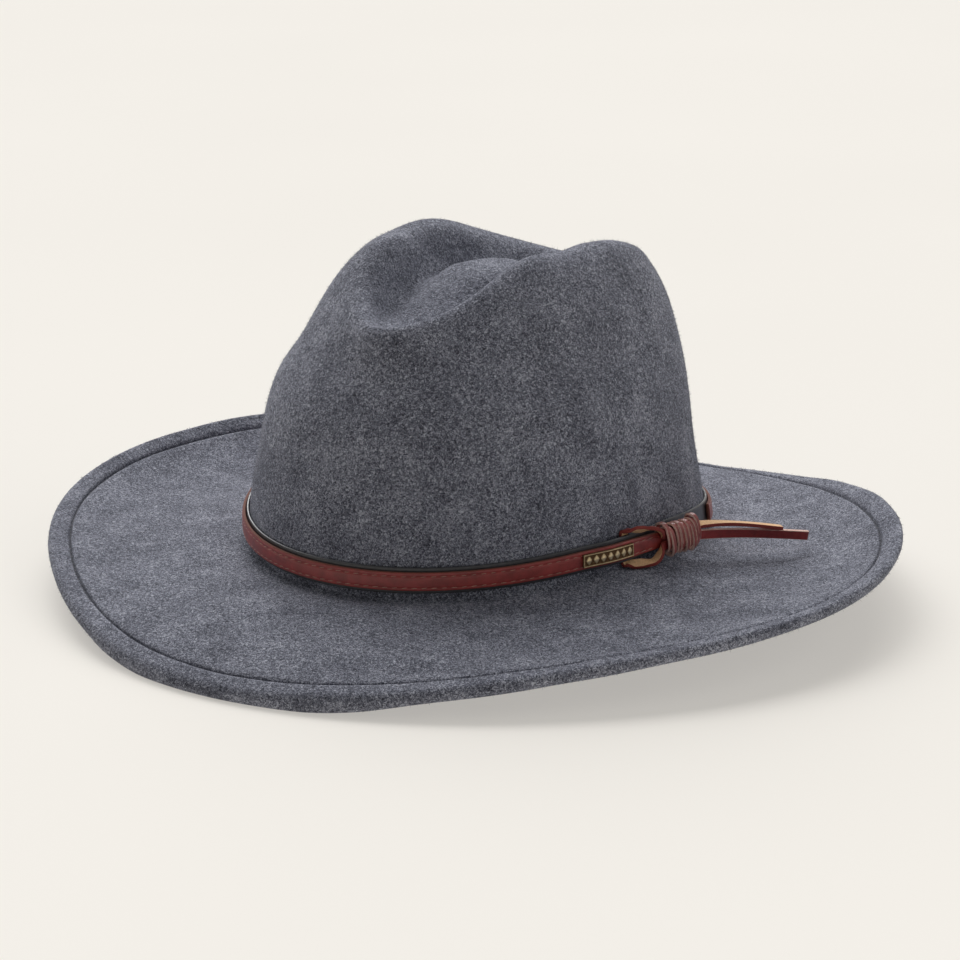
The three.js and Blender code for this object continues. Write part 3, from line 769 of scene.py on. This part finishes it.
def wrap_tree():
    """Turns of flat lace, each swept round one outline and tilted onto the next like a shingle."""
    tree, given = new_tree("turns of lace", {
        "Turns": "NodeSocketInt", "Step": "NodeSocketVector", "Width": "NodeSocketFloat",
        "Thickness": "NodeSocketFloat", "Tilt": "NodeSocketFloat", "Axis": "NodeSocketVector",
        "Lace": "NodeSocketMaterial", "Cut Edge": "NodeSocketMaterial"})
    ring = add_node(tree, "GeometryNodeMeshToCurve", {"Mesh": given["Geometry"]})
    outline = add_node(tree, "GeometryNodeSetCurveTilt", {
        "Curve": ring.outputs["Curve"], "Tilt": given["Tilt"]})
    section = add_node(tree, "GeometryNodeCurvePrimitiveQuadrilateral", {
        "Width": given["Thickness"], "Height": given["Width"]})
    corner = add_node(tree, "ShaderNodeMath", {0: given["Thickness"], 1: 0.2}, operation="MULTIPLY")
    rounded = add_node(tree, "GeometryNodeFilletCurve", {
        "Curve": section.outputs["Curve"], "Radius": corner.outputs[0], "Count": 3}, mode="POLY")
    turn = add_node(tree, "GeometryNodeCurveToMesh", {
        "Curve": outline.outputs["Curve"], "Profile Curve": rounded.outputs["Curve"]})
    soft = add_node(tree, "GeometryNodeSetShadeSmooth", {"Geometry": turn.outputs["Mesh"]})
    places = add_node(tree, "GeometryNodeMeshLine", {
        "Count": given["Turns"], "Offset": given["Step"]}, mode="OFFSET")
    uneven = add_node(tree, "FunctionNodeRandomValue", {
        0: (-TURN_UNEVEN,) * 3, 1: (TURN_UNEVEN,) * 3, "Seed": 2}, data_type="FLOAT_VECTOR")
    turns = add_node(tree, "GeometryNodeInstanceOnPoints", {
        "Points": places.outputs["Mesh"], "Instance": soft.outputs["Geometry"],
        "Rotation": uneven.outputs[0]})
    facing = add_node(tree, "GeometryNodeInputNormal")
    along = add_node(tree, "ShaderNodeVectorMath", {
        0: facing.outputs["Normal"], 1: given["Axis"]}, operation="DOT_PRODUCT")
    sideways = add_node(tree, "ShaderNodeMath", {0: along.outputs["Value"]}, operation="ABSOLUTE")
    # The sides of each turn get the cut edge's pale colour, which is partly painted highlight.
    is_edge = add_node(tree, "FunctionNodeCompare", {"A": sideways.outputs[0], "B": EDGE_SLANT},
                       data_type="FLOAT", operation="GREATER_THAN")
    end_tree(tree, turns.outputs["Instances"], given["Lace"], is_edge.outputs[0], given["Cut Edge"])
    return tree


def line_with_facing(name, points, facing, closed=False):
    """A line of points that carries the direction its surface faces, for stitches to follow."""
    edges = [(here, here + 1) for here in range(len(points) - 1)]
    if closed:
        edges.append((len(points) - 1, 0))
    line = plain_object(name, points, [], edges)
    store(line, "facing", facing)
    return line


def sew(name, line, settings, thread, slot, slant=0.0):
    """Makes stitches along a line, with the sizes of a group of settings, and removes the line.

    slant is each stitch's turn out of the line, in radians.
    """
    piece = run_tree(name, line, stitch_tree(), {
        "Pitch": settings.stitch_pitch, "Length": settings.stitch_length,
        "Width": settings.stitch_width, "Slant": slant, "Thread": thread})
    bpy.data.objects.remove(line)
    settle(piece, slot)


# Felt

# How the felt solid's rings lie near its edge: from the seam's groove to the rim, and from the rim
# to the last ring under it where loose fibres stand.
RINGS_GROOVE_TO_RIM = 4
RINGS_RIM_TO_LAST_FUZZ = 5
# The rim is the first ring whose radius is this close to the largest.
RIM_WITHIN = 0.01 * MM
RING_STEP = 1.8 * MM
# Round the hat there are four steps between two of the solid's points, however long they are.
STEPS_ROUND = 4
ANY_STEP = 1.0
SEAM_HALF_WIDTH = 0.4 * MM
LUMP_SIZE = 22 * MM
# Near the floor the lumps fade out, and no loose fibres stand.
LUMPS_FADE_BELOW = 4 * MM
FUZZ_STARTS_AT = 2 * MM
# The seam's two short joins, in degrees round the hat from its front towards the wearer's left.
JOIN_ANGLES = {"edge_join_right": -84, "edge_join_left": 114}


def row_normals(rows):
    """The direction each point of a skin of closed rows faces, outwards from the felt."""
    along = np.gradient(rows, axis=0)
    across = np.roll(rows, -1, axis=1) - np.roll(rows, 1, axis=1)
    return unit(np.cross(along, across))


def soft_lumps(points, size, seed):
    """Smooth unevenness between -1 and 1, with lumps of the given size."""
    shift = Vector((seed, seed * 2, seed * 3))
    return np.array([noise.noise(Vector(point) / size + shift) for point in points])


class HatAddFelt(bpy.types.Operator):
    """Makes the felt crown and brim, the seam near the edge and the loose fibres."""

    bl_idname = "hat.add_felt"
    bl_label = "Felt Crown and Brim"

    def execute(self, context):
        settings = context.scene.hat_felt
        rows, places, rim = self.smooth_skin()
        facing = row_normals(rows)
        seam = self.seam_strength(rows, places, rim)
        lumps = soft_lumps(rows.reshape(-1, 3), LUMP_SIZE, seed=4).reshape(rows.shape[:2])
        fade = np.clip(rows[:, :, 2] / LUMPS_FADE_BELOW, 0, 1)
        push = settings.lumps * lumps * fade - settings.groove * seam[:, None]
        rows = rows + facing * push[:, :, None]
        felt = self.body(settings, rows, seam, places < rim + RINGS_RIM_TO_LAST_FUZZ)
        self.seams(settings, rows, facing, places, rim)
        fuzz = run_tree("felt_fuzz", felt, fuzz_tree(), {
            "Density": float(settings.fuzz_count), "Length": settings.fuzz_length,
            "Width": settings.fuzz_width, "Fibre": fuzz_material(settings)})
        settle(fuzz, "felt")
        return {"FINISHED"}

    def smooth_skin(self):
        """The felt's skin in fine rows, each row's place among the solid's rings, and the rim's."""
        rings = felt_rings()
        half = rings.shape[1] // 2
        radius = np.linalg.norm(rings[:, :, :2] - rings[0, 0, :2], axis=2).mean(axis=1)
        rim = int(np.argmax(radius > radius.max() - RIM_WITHIN))
        rows, places = smooth_rows(rings, RING_STEP, least=3, before=np.roll(rings[1], half, axis=0),
                                   after=np.roll(rings[-2], half, axis=0))
        turned, _ = smooth_rows(rows.swapaxes(0, 1), ANY_STEP, least=STEPS_ROUND, closed=True)
        return turned.swapaxes(0, 1), places, rim

    def seam_strength(self, rows, places, rim):
        """How deep each row lies in the seam's groove, which is on the outside alone. It sets the groove's
        depth and its painted shade.
        """
        along = length_along(rows)
        from_groove = along - np.interp(rim - RINGS_GROOVE_TO_RIM, places, along)
        seam = np.exp(-(from_groove / SEAM_HALF_WIDTH) ** 2)
        return np.where(places > rim + 1, 0, seam)

    def body(self, settings, rows, seam, outside):
        """The crown and brim, marked where the seam lies and where loose fibres stand."""
        points, faces = skin_between_poles(rows)
        felt = plain_object("hat_felt", points, faces)
        felt.data.materials.append(felt_material(settings))
        # The seam mark also carries the painted shade in the groove to the felt's material.
        marks = {
            "seam": np.repeat(seam[:, None], rows.shape[1], axis=1),
            "outside": outside[:, None] & (rows[:, :, 2] > FUZZ_STARTS_AT)}
        for label, values in marks.items():
            store(felt, label, np.concatenate([values[:1, 0], values[1:-1].ravel(), values[-1:, 0]]))
        outward(felt)
        settle(felt, "felt", "felt_body")
        return felt

    def seams(self, settings, rows, facing, places, rim):
        """The seam round the brim's edge, and its two short joins out to the rim."""
        row = int(np.argmin(np.abs(places - (rim - RINGS_GROOVE_TO_RIM))))
        line = line_with_facing("seam_line", rows[row], facing[row], closed=True)
        thread = thread_material("dark sewing thread", settings.thread)
        sew("edge_seam", line, settings, thread, "felt", slant=0.05)
        columns = rows.shape[1]
        rim_row = int(np.argmin(np.abs(places - rim)))
        for name, angle in JOIN_ANGLES.items():
            column = int(round(angle / 360 * columns)) % columns
            line = line_with_facing(name + "_line", rows[row:rim_row, column], facing[row:rim_row, column])
            sew(name, line, settings, thread, "felt")


# Band

SECTION_STEP = 2 * MM
# The grooves that the strap's stitches lie in, and how far its face bulges between its edges.
GROOVE_HALF_WIDTH = 0.4 * MM
GROOVE_DEPTH = 0.14 * MM
STRAP_CROWN = 0.15 * MM
THREAD_SINK = 0.02 * MM
# The strap's sections without stitches, at its start behind the knot and its end inside it.
BARE_AT_START = 2
BARE_AT_END = 12


def hat_middle():
    """The point on the floor under the middle of the band."""
    low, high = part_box("band_backing")
    return np.array([(low[0] + high[0]) / 2, (low[1] + high[1]) / 2, 0.0])


def strap_sections():
    """The strap's four-cornered sections, from behind the knot to its end inside the knot."""
    low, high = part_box("knot_wrap")
    sections = bar_sections("band_strap", 4, np.array((low + high) / 2))[::-1]
    middle = hat_middle()
    return np.array([corners_in_order(section, middle) for section in sections])


def on_strap(corners, height, stand):
    """Points off the strap's outer face, and where it faces there.

    height is a share of the strap's own, and stand the distance off its face.
    """
    outer = corners[:, 1] * (1 - height) + corners[:, 2] * height
    inner = corners[:, 0] * (1 - height) + corners[:, 3] * height
    facing = unit(outer - inner)
    return outer + facing * stand, facing


class HatAddBand(bpy.types.Operator):
    """Makes the black backing, the strap on it and the strap's two rows of stitches."""

    bl_idname = "hat.add_band"
    bl_label = "Leather Band"

    def execute(self, context):
        settings = context.scene.hat_band
        self.backing(settings)
        self.strap(settings)
        return {"FINISHED"}

    def backing(self, settings):
        """The black strip, a whole ring."""
        corners = ring_sections("band_backing", hat_middle())
        thick, tall = strip_size(corners)
        smooth, _ = smooth_rows(corners, SECTION_STEP, least=2, closed=True)
        outline = section_outline(thick, tall, settings.corner)
        sections = fit_outline(smooth, outline, thick, tall)
        finish = leather_material("black satin leather", settings.backing, roughness=0.38, coat=0.25)
        backing = swept("band_backing_leather", sections, [finish], [0] * len(outline), closed=True)
        settle(backing, "backing_leather", "band_backing")

    def strap(self, settings):
        """The strap, with a groove and a row of stitches near each edge of its face."""
        corners = strap_sections()
        thick, tall = strip_size(corners)
        smooth, _ = smooth_rows(corners, SECTION_STEP, least=2)
        rows = [settings.low_row, settings.low_row + settings.rows_apart]
        outline = section_outline(thick, tall, settings.corner, rows, GROOVE_HALF_WIDTH, GROOVE_DEPTH,
                                  STRAP_CROWN)
        sections = fit_outline(smooth, outline, thick, tall)
        face = leather_material("polished red-brown leather", settings.leather, roughness=0.4, coat=0.25)
        edge = raw_leather_material("waxed cut edge", settings.raw_edge)
        numbers = strip_faces(outline, thick, tall, face=0, edge=1, back=1)
        strap = swept("band_strap_leather", sections, [face, edge], numbers)
        settle(strap, "strap_leather", "band_strap")
        thread = thread_material("tan sewing thread", settings.thread)
        for name, height in zip(("stitches_low", "stitches_high"), rows):
            points, facing = on_strap(smooth[BARE_AT_START:-BARE_AT_END], height / tall, -THREAD_SINK)
            line = line_with_facing(name + "_line", points, facing)
            sew(name, line, settings, thread, "strap_leather", slant=0.12)


# Plate

# The grid of points on the plate's face: along the strap and up it.
PLATE_COLUMNS = 181
PLATE_LINES = 37
STRAP_STEP = 0.1 * MM
RIM_SLOPE = 0.15 * MM
# The rim's height as a share of the beads'.
RIM_SHARE = 0.5
# The plate's border falls away over this width, by this depth.
BORDER_WIDTH = 0.2 * MM
BORDER_DEPTH = 0.15 * MM
# A bead is a diamond: its half length as a share of the pitch, its half height as a share of the
# plate's, and how full its sides are, from 1 for straight sides to 2 for an ellipse.
BEAD_HALF_LENGTH = 0.4
BEAD_HALF_HEIGHT = 0.36
BEAD_FULLNESS = 1.3


class HatAddPlate(bpy.types.Operator):
    """Makes the brass plate on the strap, with a raised rim and a row of beads."""

    bl_idname = "hat.add_plate"
    bl_label = "Brass Plate"

    def execute(self, context):
        settings = context.scene.hat_plate
        corners, _ = smooth_rows(strap_sections(), STRAP_STEP)
        _, strap_tall = strip_size(corners)
        along, start, length, low, tall, stand, thick = self.place(corners)
        grid = np.zeros((PLATE_COLUMNS, PLATE_LINES, 3))
        relief = np.zeros((PLATE_COLUMNS, PLATE_LINES))
        backs = np.zeros((PLATE_COLUMNS, 2, 3))
        pitch = (length - 2 * settings.rim - settings.margin) / settings.beads
        for column in range(PLATE_COLUMNS):
            run = length * column / (PLATE_COLUMNS - 1)
            here = int(np.searchsorted(along, start + run))
            section = corners[here:here + 1]
            inside = (run - settings.rim - settings.margin / 2) / pitch
            across = (inside % 1 - 0.5) * pitch
            for line in range(PLATE_LINES):
                height = tall * line / (PLATE_LINES - 1)
                up = height - tall / 2
                edge = min(run, length - run, height, tall - height)
                rim = 1 - min(1, max(0, (edge - settings.rim) / RIM_SLOPE))
                diamond = ((abs(across) / (BEAD_HALF_LENGTH * pitch)) ** BEAD_FULLNESS
                           + (abs(up) / (BEAD_HALF_HEIGHT * tall)) ** BEAD_FULLNESS)
                bead = max(0, 1 - diamond) ** 0.5 if 0 <= inside < settings.beads else 0
                fall = max(0, 1 - edge / BORDER_WIDTH)
                raised = max(RIM_SHARE * rim, bead)
                relief[column, line] = raised * (1 - fall / 2)
                off = stand + thick - settings.relief * (1 - raised) - BORDER_DEPTH * fall ** 2
                grid[column, line] = on_strap(section, (low + height) / strap_tall, off)[0][0]
            backs[column, 0] = on_strap(section, (low + tall) / strap_tall, stand)[0][0]
            backs[column, 1] = on_strap(section, low / strap_tall, stand)[0][0]
        sections = np.concatenate([grid, backs], axis=1)
        plate = swept("brass_plate", sections, [brass_material(settings)], [0] * sections.shape[1])
        store(plate, "relief", np.pad(relief, ((0, 0), (0, 2))).ravel())
        settle(plate, "plate_brass", "band_plate")
        return {"FINISHED"}

    def place(self, corners):
        """Where the plate's solid lies on the strap, along it, up it and off its face."""
        points, _ = node_points("band_plate")
        middles = corners.mean(axis=1)
        along = length_along(middles)
        nearest = [int(np.argmin(np.linalg.norm(middles - point, axis=1))) for point in points]
        run = along[nearest]
        foot, facing = on_strap(corners[nearest], 0, 0)
        up = unit(corners[nearest, 2] - corners[nearest, 1])
        height = ((points - foot) * up).sum(axis=1)
        off = ((points - foot) * facing).sum(axis=1)
        return (along, run.min(), np.ptp(run), height.min(), np.ptp(height), off.min(), np.ptp(off))


# Knot

# A turn's outline: its points, and how square it is, from 2 for an ellipse upwards.
TURN_POINTS = 48
TURN_SQUARENESS = 2.7
LACE_STEP = 1.2 * MM
LACE_CORNER = 0.2 * MM
# The lengths over which the loop's twist sets in, and over which the upper tail's tilt sets in
# inside the knot and changes outside it.
TWIST_SETS_IN = 3 * MM
TILT_SETS_IN = 4 * MM
TILT_CHANGES = 17 * MM
# The numbers of the lace's materials on its mesh. The cut edge's pale colour is partly painted highlight.
GRAIN, FLESH, DYED_EDGE, HIGHLIT_CUT_EDGE = range(4)


def knot_axes():
    """The knot's own directions: along the strap's straight end, away from the crown, and up."""
    middles = strap_sections().mean(axis=1)
    runs = middles[-1] - middles[-2]
    runs[2] = 0
    runs = unit(runs)
    return np.array([runs, np.cross(runs, UP), UP])


class HatAddKnot(bpy.types.Operator):
    """Makes the lace that loops round the band and the turns of lace that hold it."""

    bl_idname = "hat.add_knot"
    bl_label = "Lace and Knot"

    def execute(self, context):
        settings = context.scene.hat_knot
        axes = knot_axes()
        self.lace(settings, axes)
        self.wrap(settings, axes)
        return {"FINISHED"}

    def lace(self, settings, axes):
        """The lace from the lower tail's end round the band to the upper tail's end."""
        sections = self.lace_sections(axes)
        thick, tall = strip_size(sections)
        smooth, _ = smooth_rows(sections, LACE_STEP, least=2)
        run = smooth.mean(axis=1) @ axes[0]
        after_loop = np.arange(len(run)) > np.argmin(run)
        knot = node_points("knot_wrap")[0] @ axes[0]
        mouth, knot_middle = knot.max(), (knot.min() + knot.max()) / 2
        smooth = self.twisted_loop(settings, smooth, run, knot.min(), axes, thick)
        smooth = self.tilted_tail(settings, smooth, np.where(after_loop, run - mouth, -mouth), thick, tall)
        outline = section_outline(thick, tall, LACE_CORNER)
        laid = fit_outline(smooth, outline, thick, tall)
        kinds = {
            "loop": strip_faces(outline, thick, tall, GRAIN, DYED_EDGE, FLESH),
            "lower tail": strip_faces(outline, thick, tall, GRAIN, HIGHLIT_CUT_EDGE, FLESH),
            "upper tail": strip_faces(outline, thick, tall, FLESH, DYED_EDGE, GRAIN)}
        numbers = []
        for place, behind in zip(run[:-1], after_loop[:-1]):
            tail = "upper tail" if behind else "lower tail"
            numbers.append(kinds[tail if place > knot_middle else "loop"])
        # The pale cut edge is partly painted highlight; the loop and the upper tail keep the darker dyed
        # edge.
        materials = [
            leather_material("grain side of lace leather", settings.grain, roughness=0.5, coat=0.1),
            raw_leather_material("flesh side of lace leather", settings.flesh),
            raw_leather_material("dyed edge of lace leather", settings.edge),
            raw_leather_material("cut edge of tail leather", settings.highlit_cut_edge)]
        lace = swept("knot_lace_leather", laid, materials, numbers)
        settle(lace, "lace_leather", "knot_lace")

    def twisted_loop(self, settings, smooth, run, knot_start, axes, thick):
        """Sections whose loop turns its flesh side outwards between the knot and its bend."""
        past = np.clip(np.minimum(knot_start - run, run - run.min()) / TWIST_SETS_IN, 0, 1)
        turn = (settings.loop_twist * past * past * (3 - 2 * past))[:, None, None]
        middles = smooth.mean(axis=1)[:, None]
        deep = unit((smooth[:, 1] - smooth[:, 0])[:, None])
        wide = unit((smooth[:, 3] - smooth[:, 0])[:, None])
        out = wide * np.sign((wide * axes[1]).sum(axis=2, keepdims=True))
        from_middle = smooth - middles
        depth = (from_middle * deep).sum(axis=2, keepdims=True)
        width = (from_middle * out).sum(axis=2, keepdims=True)
        turned_deep = deep * np.cos(turn) - out * np.sin(turn)
        turned_out = out * np.cos(turn) + deep * np.sin(turn)
        return middles + turned_deep * depth + turned_out * width + deep * thick / 2 * np.sin(turn)

    def tilted_tail(self, settings, smooth, past_mouth, thick, tall):
        """Sections whose upper tail leaves the knot tilted and lies flat at its end."""
        middles = smooth.mean(axis=1)
        runs = np.gradient(middles, axis=0)
        out = unit(np.cross(runs, UP))
        tilts = [settings.tail_start_tilt, settings.tail_end_tilt]
        tilt = np.interp(past_mouth, [0, TILT_CHANGES], tilts)[:, None]
        across = (np.cos(tilt) * out - np.sin(tilt) * UP) * tall / 2
        facing = (np.sin(tilt) * out + np.cos(tilt) * UP) * thick / 2
        order = smooth[:, 3] - smooth[:, 0]
        across *= np.sign((order * across).sum(axis=1, keepdims=True) + 1e-12)
        laid = middles[:, None] + np.stack(
            [-across - facing, -across + facing, across + facing, across - facing], axis=1)
        share = np.clip(past_mouth / TILT_SETS_IN + 1, 0, 1)[:, None, None]
        return smooth * (1 - share) + laid * share

    def lace_sections(self, axes):
        """The lace's sections from the lower tail's end, with the grain side outside the loop."""
        points, _ = node_points("knot_lace")
        far = points[np.argmax(points @ axes[0])]
        sections = bar_sections("knot_lace", 4, far)
        sides = np.linalg.norm(np.roll(sections[0], -1, axis=0) - sections[0], axis=1)
        if sides[0] > sides[1]:
            sections = np.roll(sections, 1, axis=1)
        top = sections[np.argmax(sections.mean(axis=1)[:, 2])]
        if (top[1] - top[0])[2] < 0:
            sections = sections[:, [1, 0, 3, 2]]
        return sections

    def wrap(self, settings, axes):
        """The turns of lace round the knot, as far out and as long as the solid that they replace."""
        points, _ = node_points("knot_wrap")
        local = points @ axes.T
        low, high = local.min(axis=0), local.max(axis=0)
        middle = (low + high) / 2
        width = settings.turn_width
        proud = settings.lace_thickness / 2 + width / 2 * abs(math.sin(settings.shingle))
        half = (high - low) / 2 - proud
        lean = settings.lean
        pitch = (high[0] - low[0] - width - 2 * lean) / (settings.turns - 1)
        outline = []
        for turn in np.linspace(0, 2 * math.pi, TURN_POINTS, endpoint=False):
            side, rise = math.cos(turn), math.sin(turn)
            full = (abs(side) ** TURN_SQUARENESS + abs(rise) ** TURN_SQUARENESS) ** (-1 / TURN_SQUARENESS)
            outline.append([low[0] + width / 2 + lean - lean * rise * full,
                            middle[1] + half[1] * side * full, middle[2] + half[2] * rise * full])
        ring = plain_object("turn_outline", np.array(outline) @ axes, [],
                            [(here, (here + 1) % TURN_POINTS) for here in range(TURN_POINTS)])
        lace = leather_material("wound lace leather", settings.wrap, roughness=0.45, coat=0.15)
        # The cut edges are painted pale, partly as highlight.
        cut = raw_leather_material("cut edge of lace leather", settings.highlit_cut_edge)
        wrap = run_tree("knot_wrap_leather", ring, wrap_tree(), {
            "Turns": settings.turns, "Step": Vector(axes[0] * pitch), "Width": width,
            "Thickness": settings.lace_thickness, "Tilt": settings.shingle, "Axis": Vector(axes[0]),
            "Lace": lace, "Cut Edge": cut})
        bpy.data.objects.remove(ring)
        settle(wrap, "lace_leather", "knot_wrap")


# Stage

FLOOR_REACH = 12.0
# Each lamp's angles in degrees: from the camera's right through the back to its left, and up.
LAMPS = {"back": (90, 40), "left": (118, 43), "right": (0, 30)}
LAMP_SPREAD = math.radians(50)
# The camera's lens and sensor in millimetres, how far its picture shifts, and where it looks.
LENS = 112.46
SENSOR_WIDTH = 36
SHIFT = (-0.00135, -0.021)
LOOKS_AT = Vector((0, 6 * MM, 45 * MM))


class HatAddStage(bpy.types.Operator):
    """Makes the floor, the soft studio lamps and the camera."""

    bl_idname = "hat.add_stage"
    bl_label = "Stage and Camera"

    def execute(self, context):
        settings = context.scene.hat_stage
        self.floor(settings)
        self.lights(context, settings)
        self.camera(context, settings)
        return {"FINISHED"}

    def floor(self, settings):
        """A wide, flat sheet under the hat."""
        corners = [(x * FLOOR_REACH, y * FLOOR_REACH, 0) for x, y in ((-1, -1), (1, -1), (1, 1), (-1, 1))]
        floor = plain_object("floor", corners, [(0, 1, 2, 3)])
        floor.data.materials.append(floor_material(settings))

    def lights(self, context, settings):
        """A weak light from all round and three soft lamps, placed by the camera's azimuth."""
        context.scene.view_settings.view_transform = "Standard"
        world = bpy.data.worlds.new("studio")
        context.scene.world = world
        world.use_nodes = True
        background = world.node_tree.nodes["Background"]
        background.inputs["Color"].default_value = (1, 1, 1, 1)
        background.inputs["Strength"].default_value = settings.sky
        for name, (round_hat, rise) in LAMPS.items():
            data = bpy.data.lights.new(name + " lamp", "SUN")
            data.energy = getattr(settings, name)
            data.angle = LAMP_SPREAD
            lamp = bpy.data.objects.new(name + " lamp", data)
            turn = settings.azimuth + math.radians(round_hat)
            flat = math.cos(math.radians(rise))
            towards = Vector((math.cos(turn) * flat, math.sin(turn) * flat, math.sin(math.radians(rise))))
            lamp.rotation_euler = towards.to_track_quat("Z", "Y").to_euler()
            context.scene.collection.objects.link(lamp)

    def camera(self, context, settings):
        """The camera, at the angle that the photograph was taken from."""
        data = bpy.data.cameras.new("camera")
        data.lens = LENS
        data.sensor_width = SENSOR_WIDTH
        data.clip_start = 0.05
        data.shift_x, data.shift_y = SHIFT
        camera = bpy.data.objects.new("camera", data)
        flat = math.cos(settings.elevation)
        back = Vector((math.sin(settings.azimuth) * flat, -math.cos(settings.azimuth) * flat,
                       math.sin(settings.elevation)))
        camera.location = LOOKS_AT + back * settings.distance
        camera.rotation_euler = back.to_track_quat("Z", "Y").to_euler()
        context.scene.collection.objects.link(camera)
        context.scene.camera = camera


# Add-on

OPERATORS = (HatAddFelt, HatAddBand, HatAddPlate, HatAddKnot, HatAddStage)
SETTINGS = {
    "hat_felt": HatFeltSettings,
    "hat_band": HatBandSettings,
    "hat_plate": HatPlateSettings,
    "hat_knot": HatKnotSettings,
    "hat_stage": HatStageSettings,
}


class HatPanel(bpy.types.Panel):
    """Lists the hat's pieces and their settings."""

    bl_idname = "VIEW3D_PT_felt_hat"
    bl_label = "Felt Hat"
    bl_space_type = "VIEW_3D"
    bl_region_type = "UI"
    bl_category = "Felt Hat"

    def draw(self, context):
        for operator, group in zip(OPERATORS, SETTINGS):
            column = self.layout.column(align=True)
            column.operator(operator.bl_idname)
            settings = getattr(context.scene, group)
            for name in settings.__annotations__:
                column.prop(settings, name)


def register():
    for group in SETTINGS.values():
        bpy.utils.register_class(group)
    for operator in OPERATORS:
        bpy.utils.register_class(operator)
    bpy.utils.register_class(HatPanel)
    for name, group in SETTINGS.items():
        setattr(bpy.types.Scene, name, PointerProperty(type=group))


def unregister():
    for name in SETTINGS:
        delattr(bpy.types.Scene, name)
    bpy.utils.unregister_class(HatPanel)
    for operator in reversed(OPERATORS):
        bpy.utils.unregister_class(operator)
    for group in reversed(list(SETTINGS.values())):
        bpy.utils.unregister_class(group)


def main():
    register()
    bpy.ops.hat.add_stage()
    bpy.ops.hat.add_felt()
    bpy.ops.hat.add_band()
    bpy.ops.hat.add_plate()
    bpy.ops.hat.add_knot()


if __name__ == "__main__":
    main()
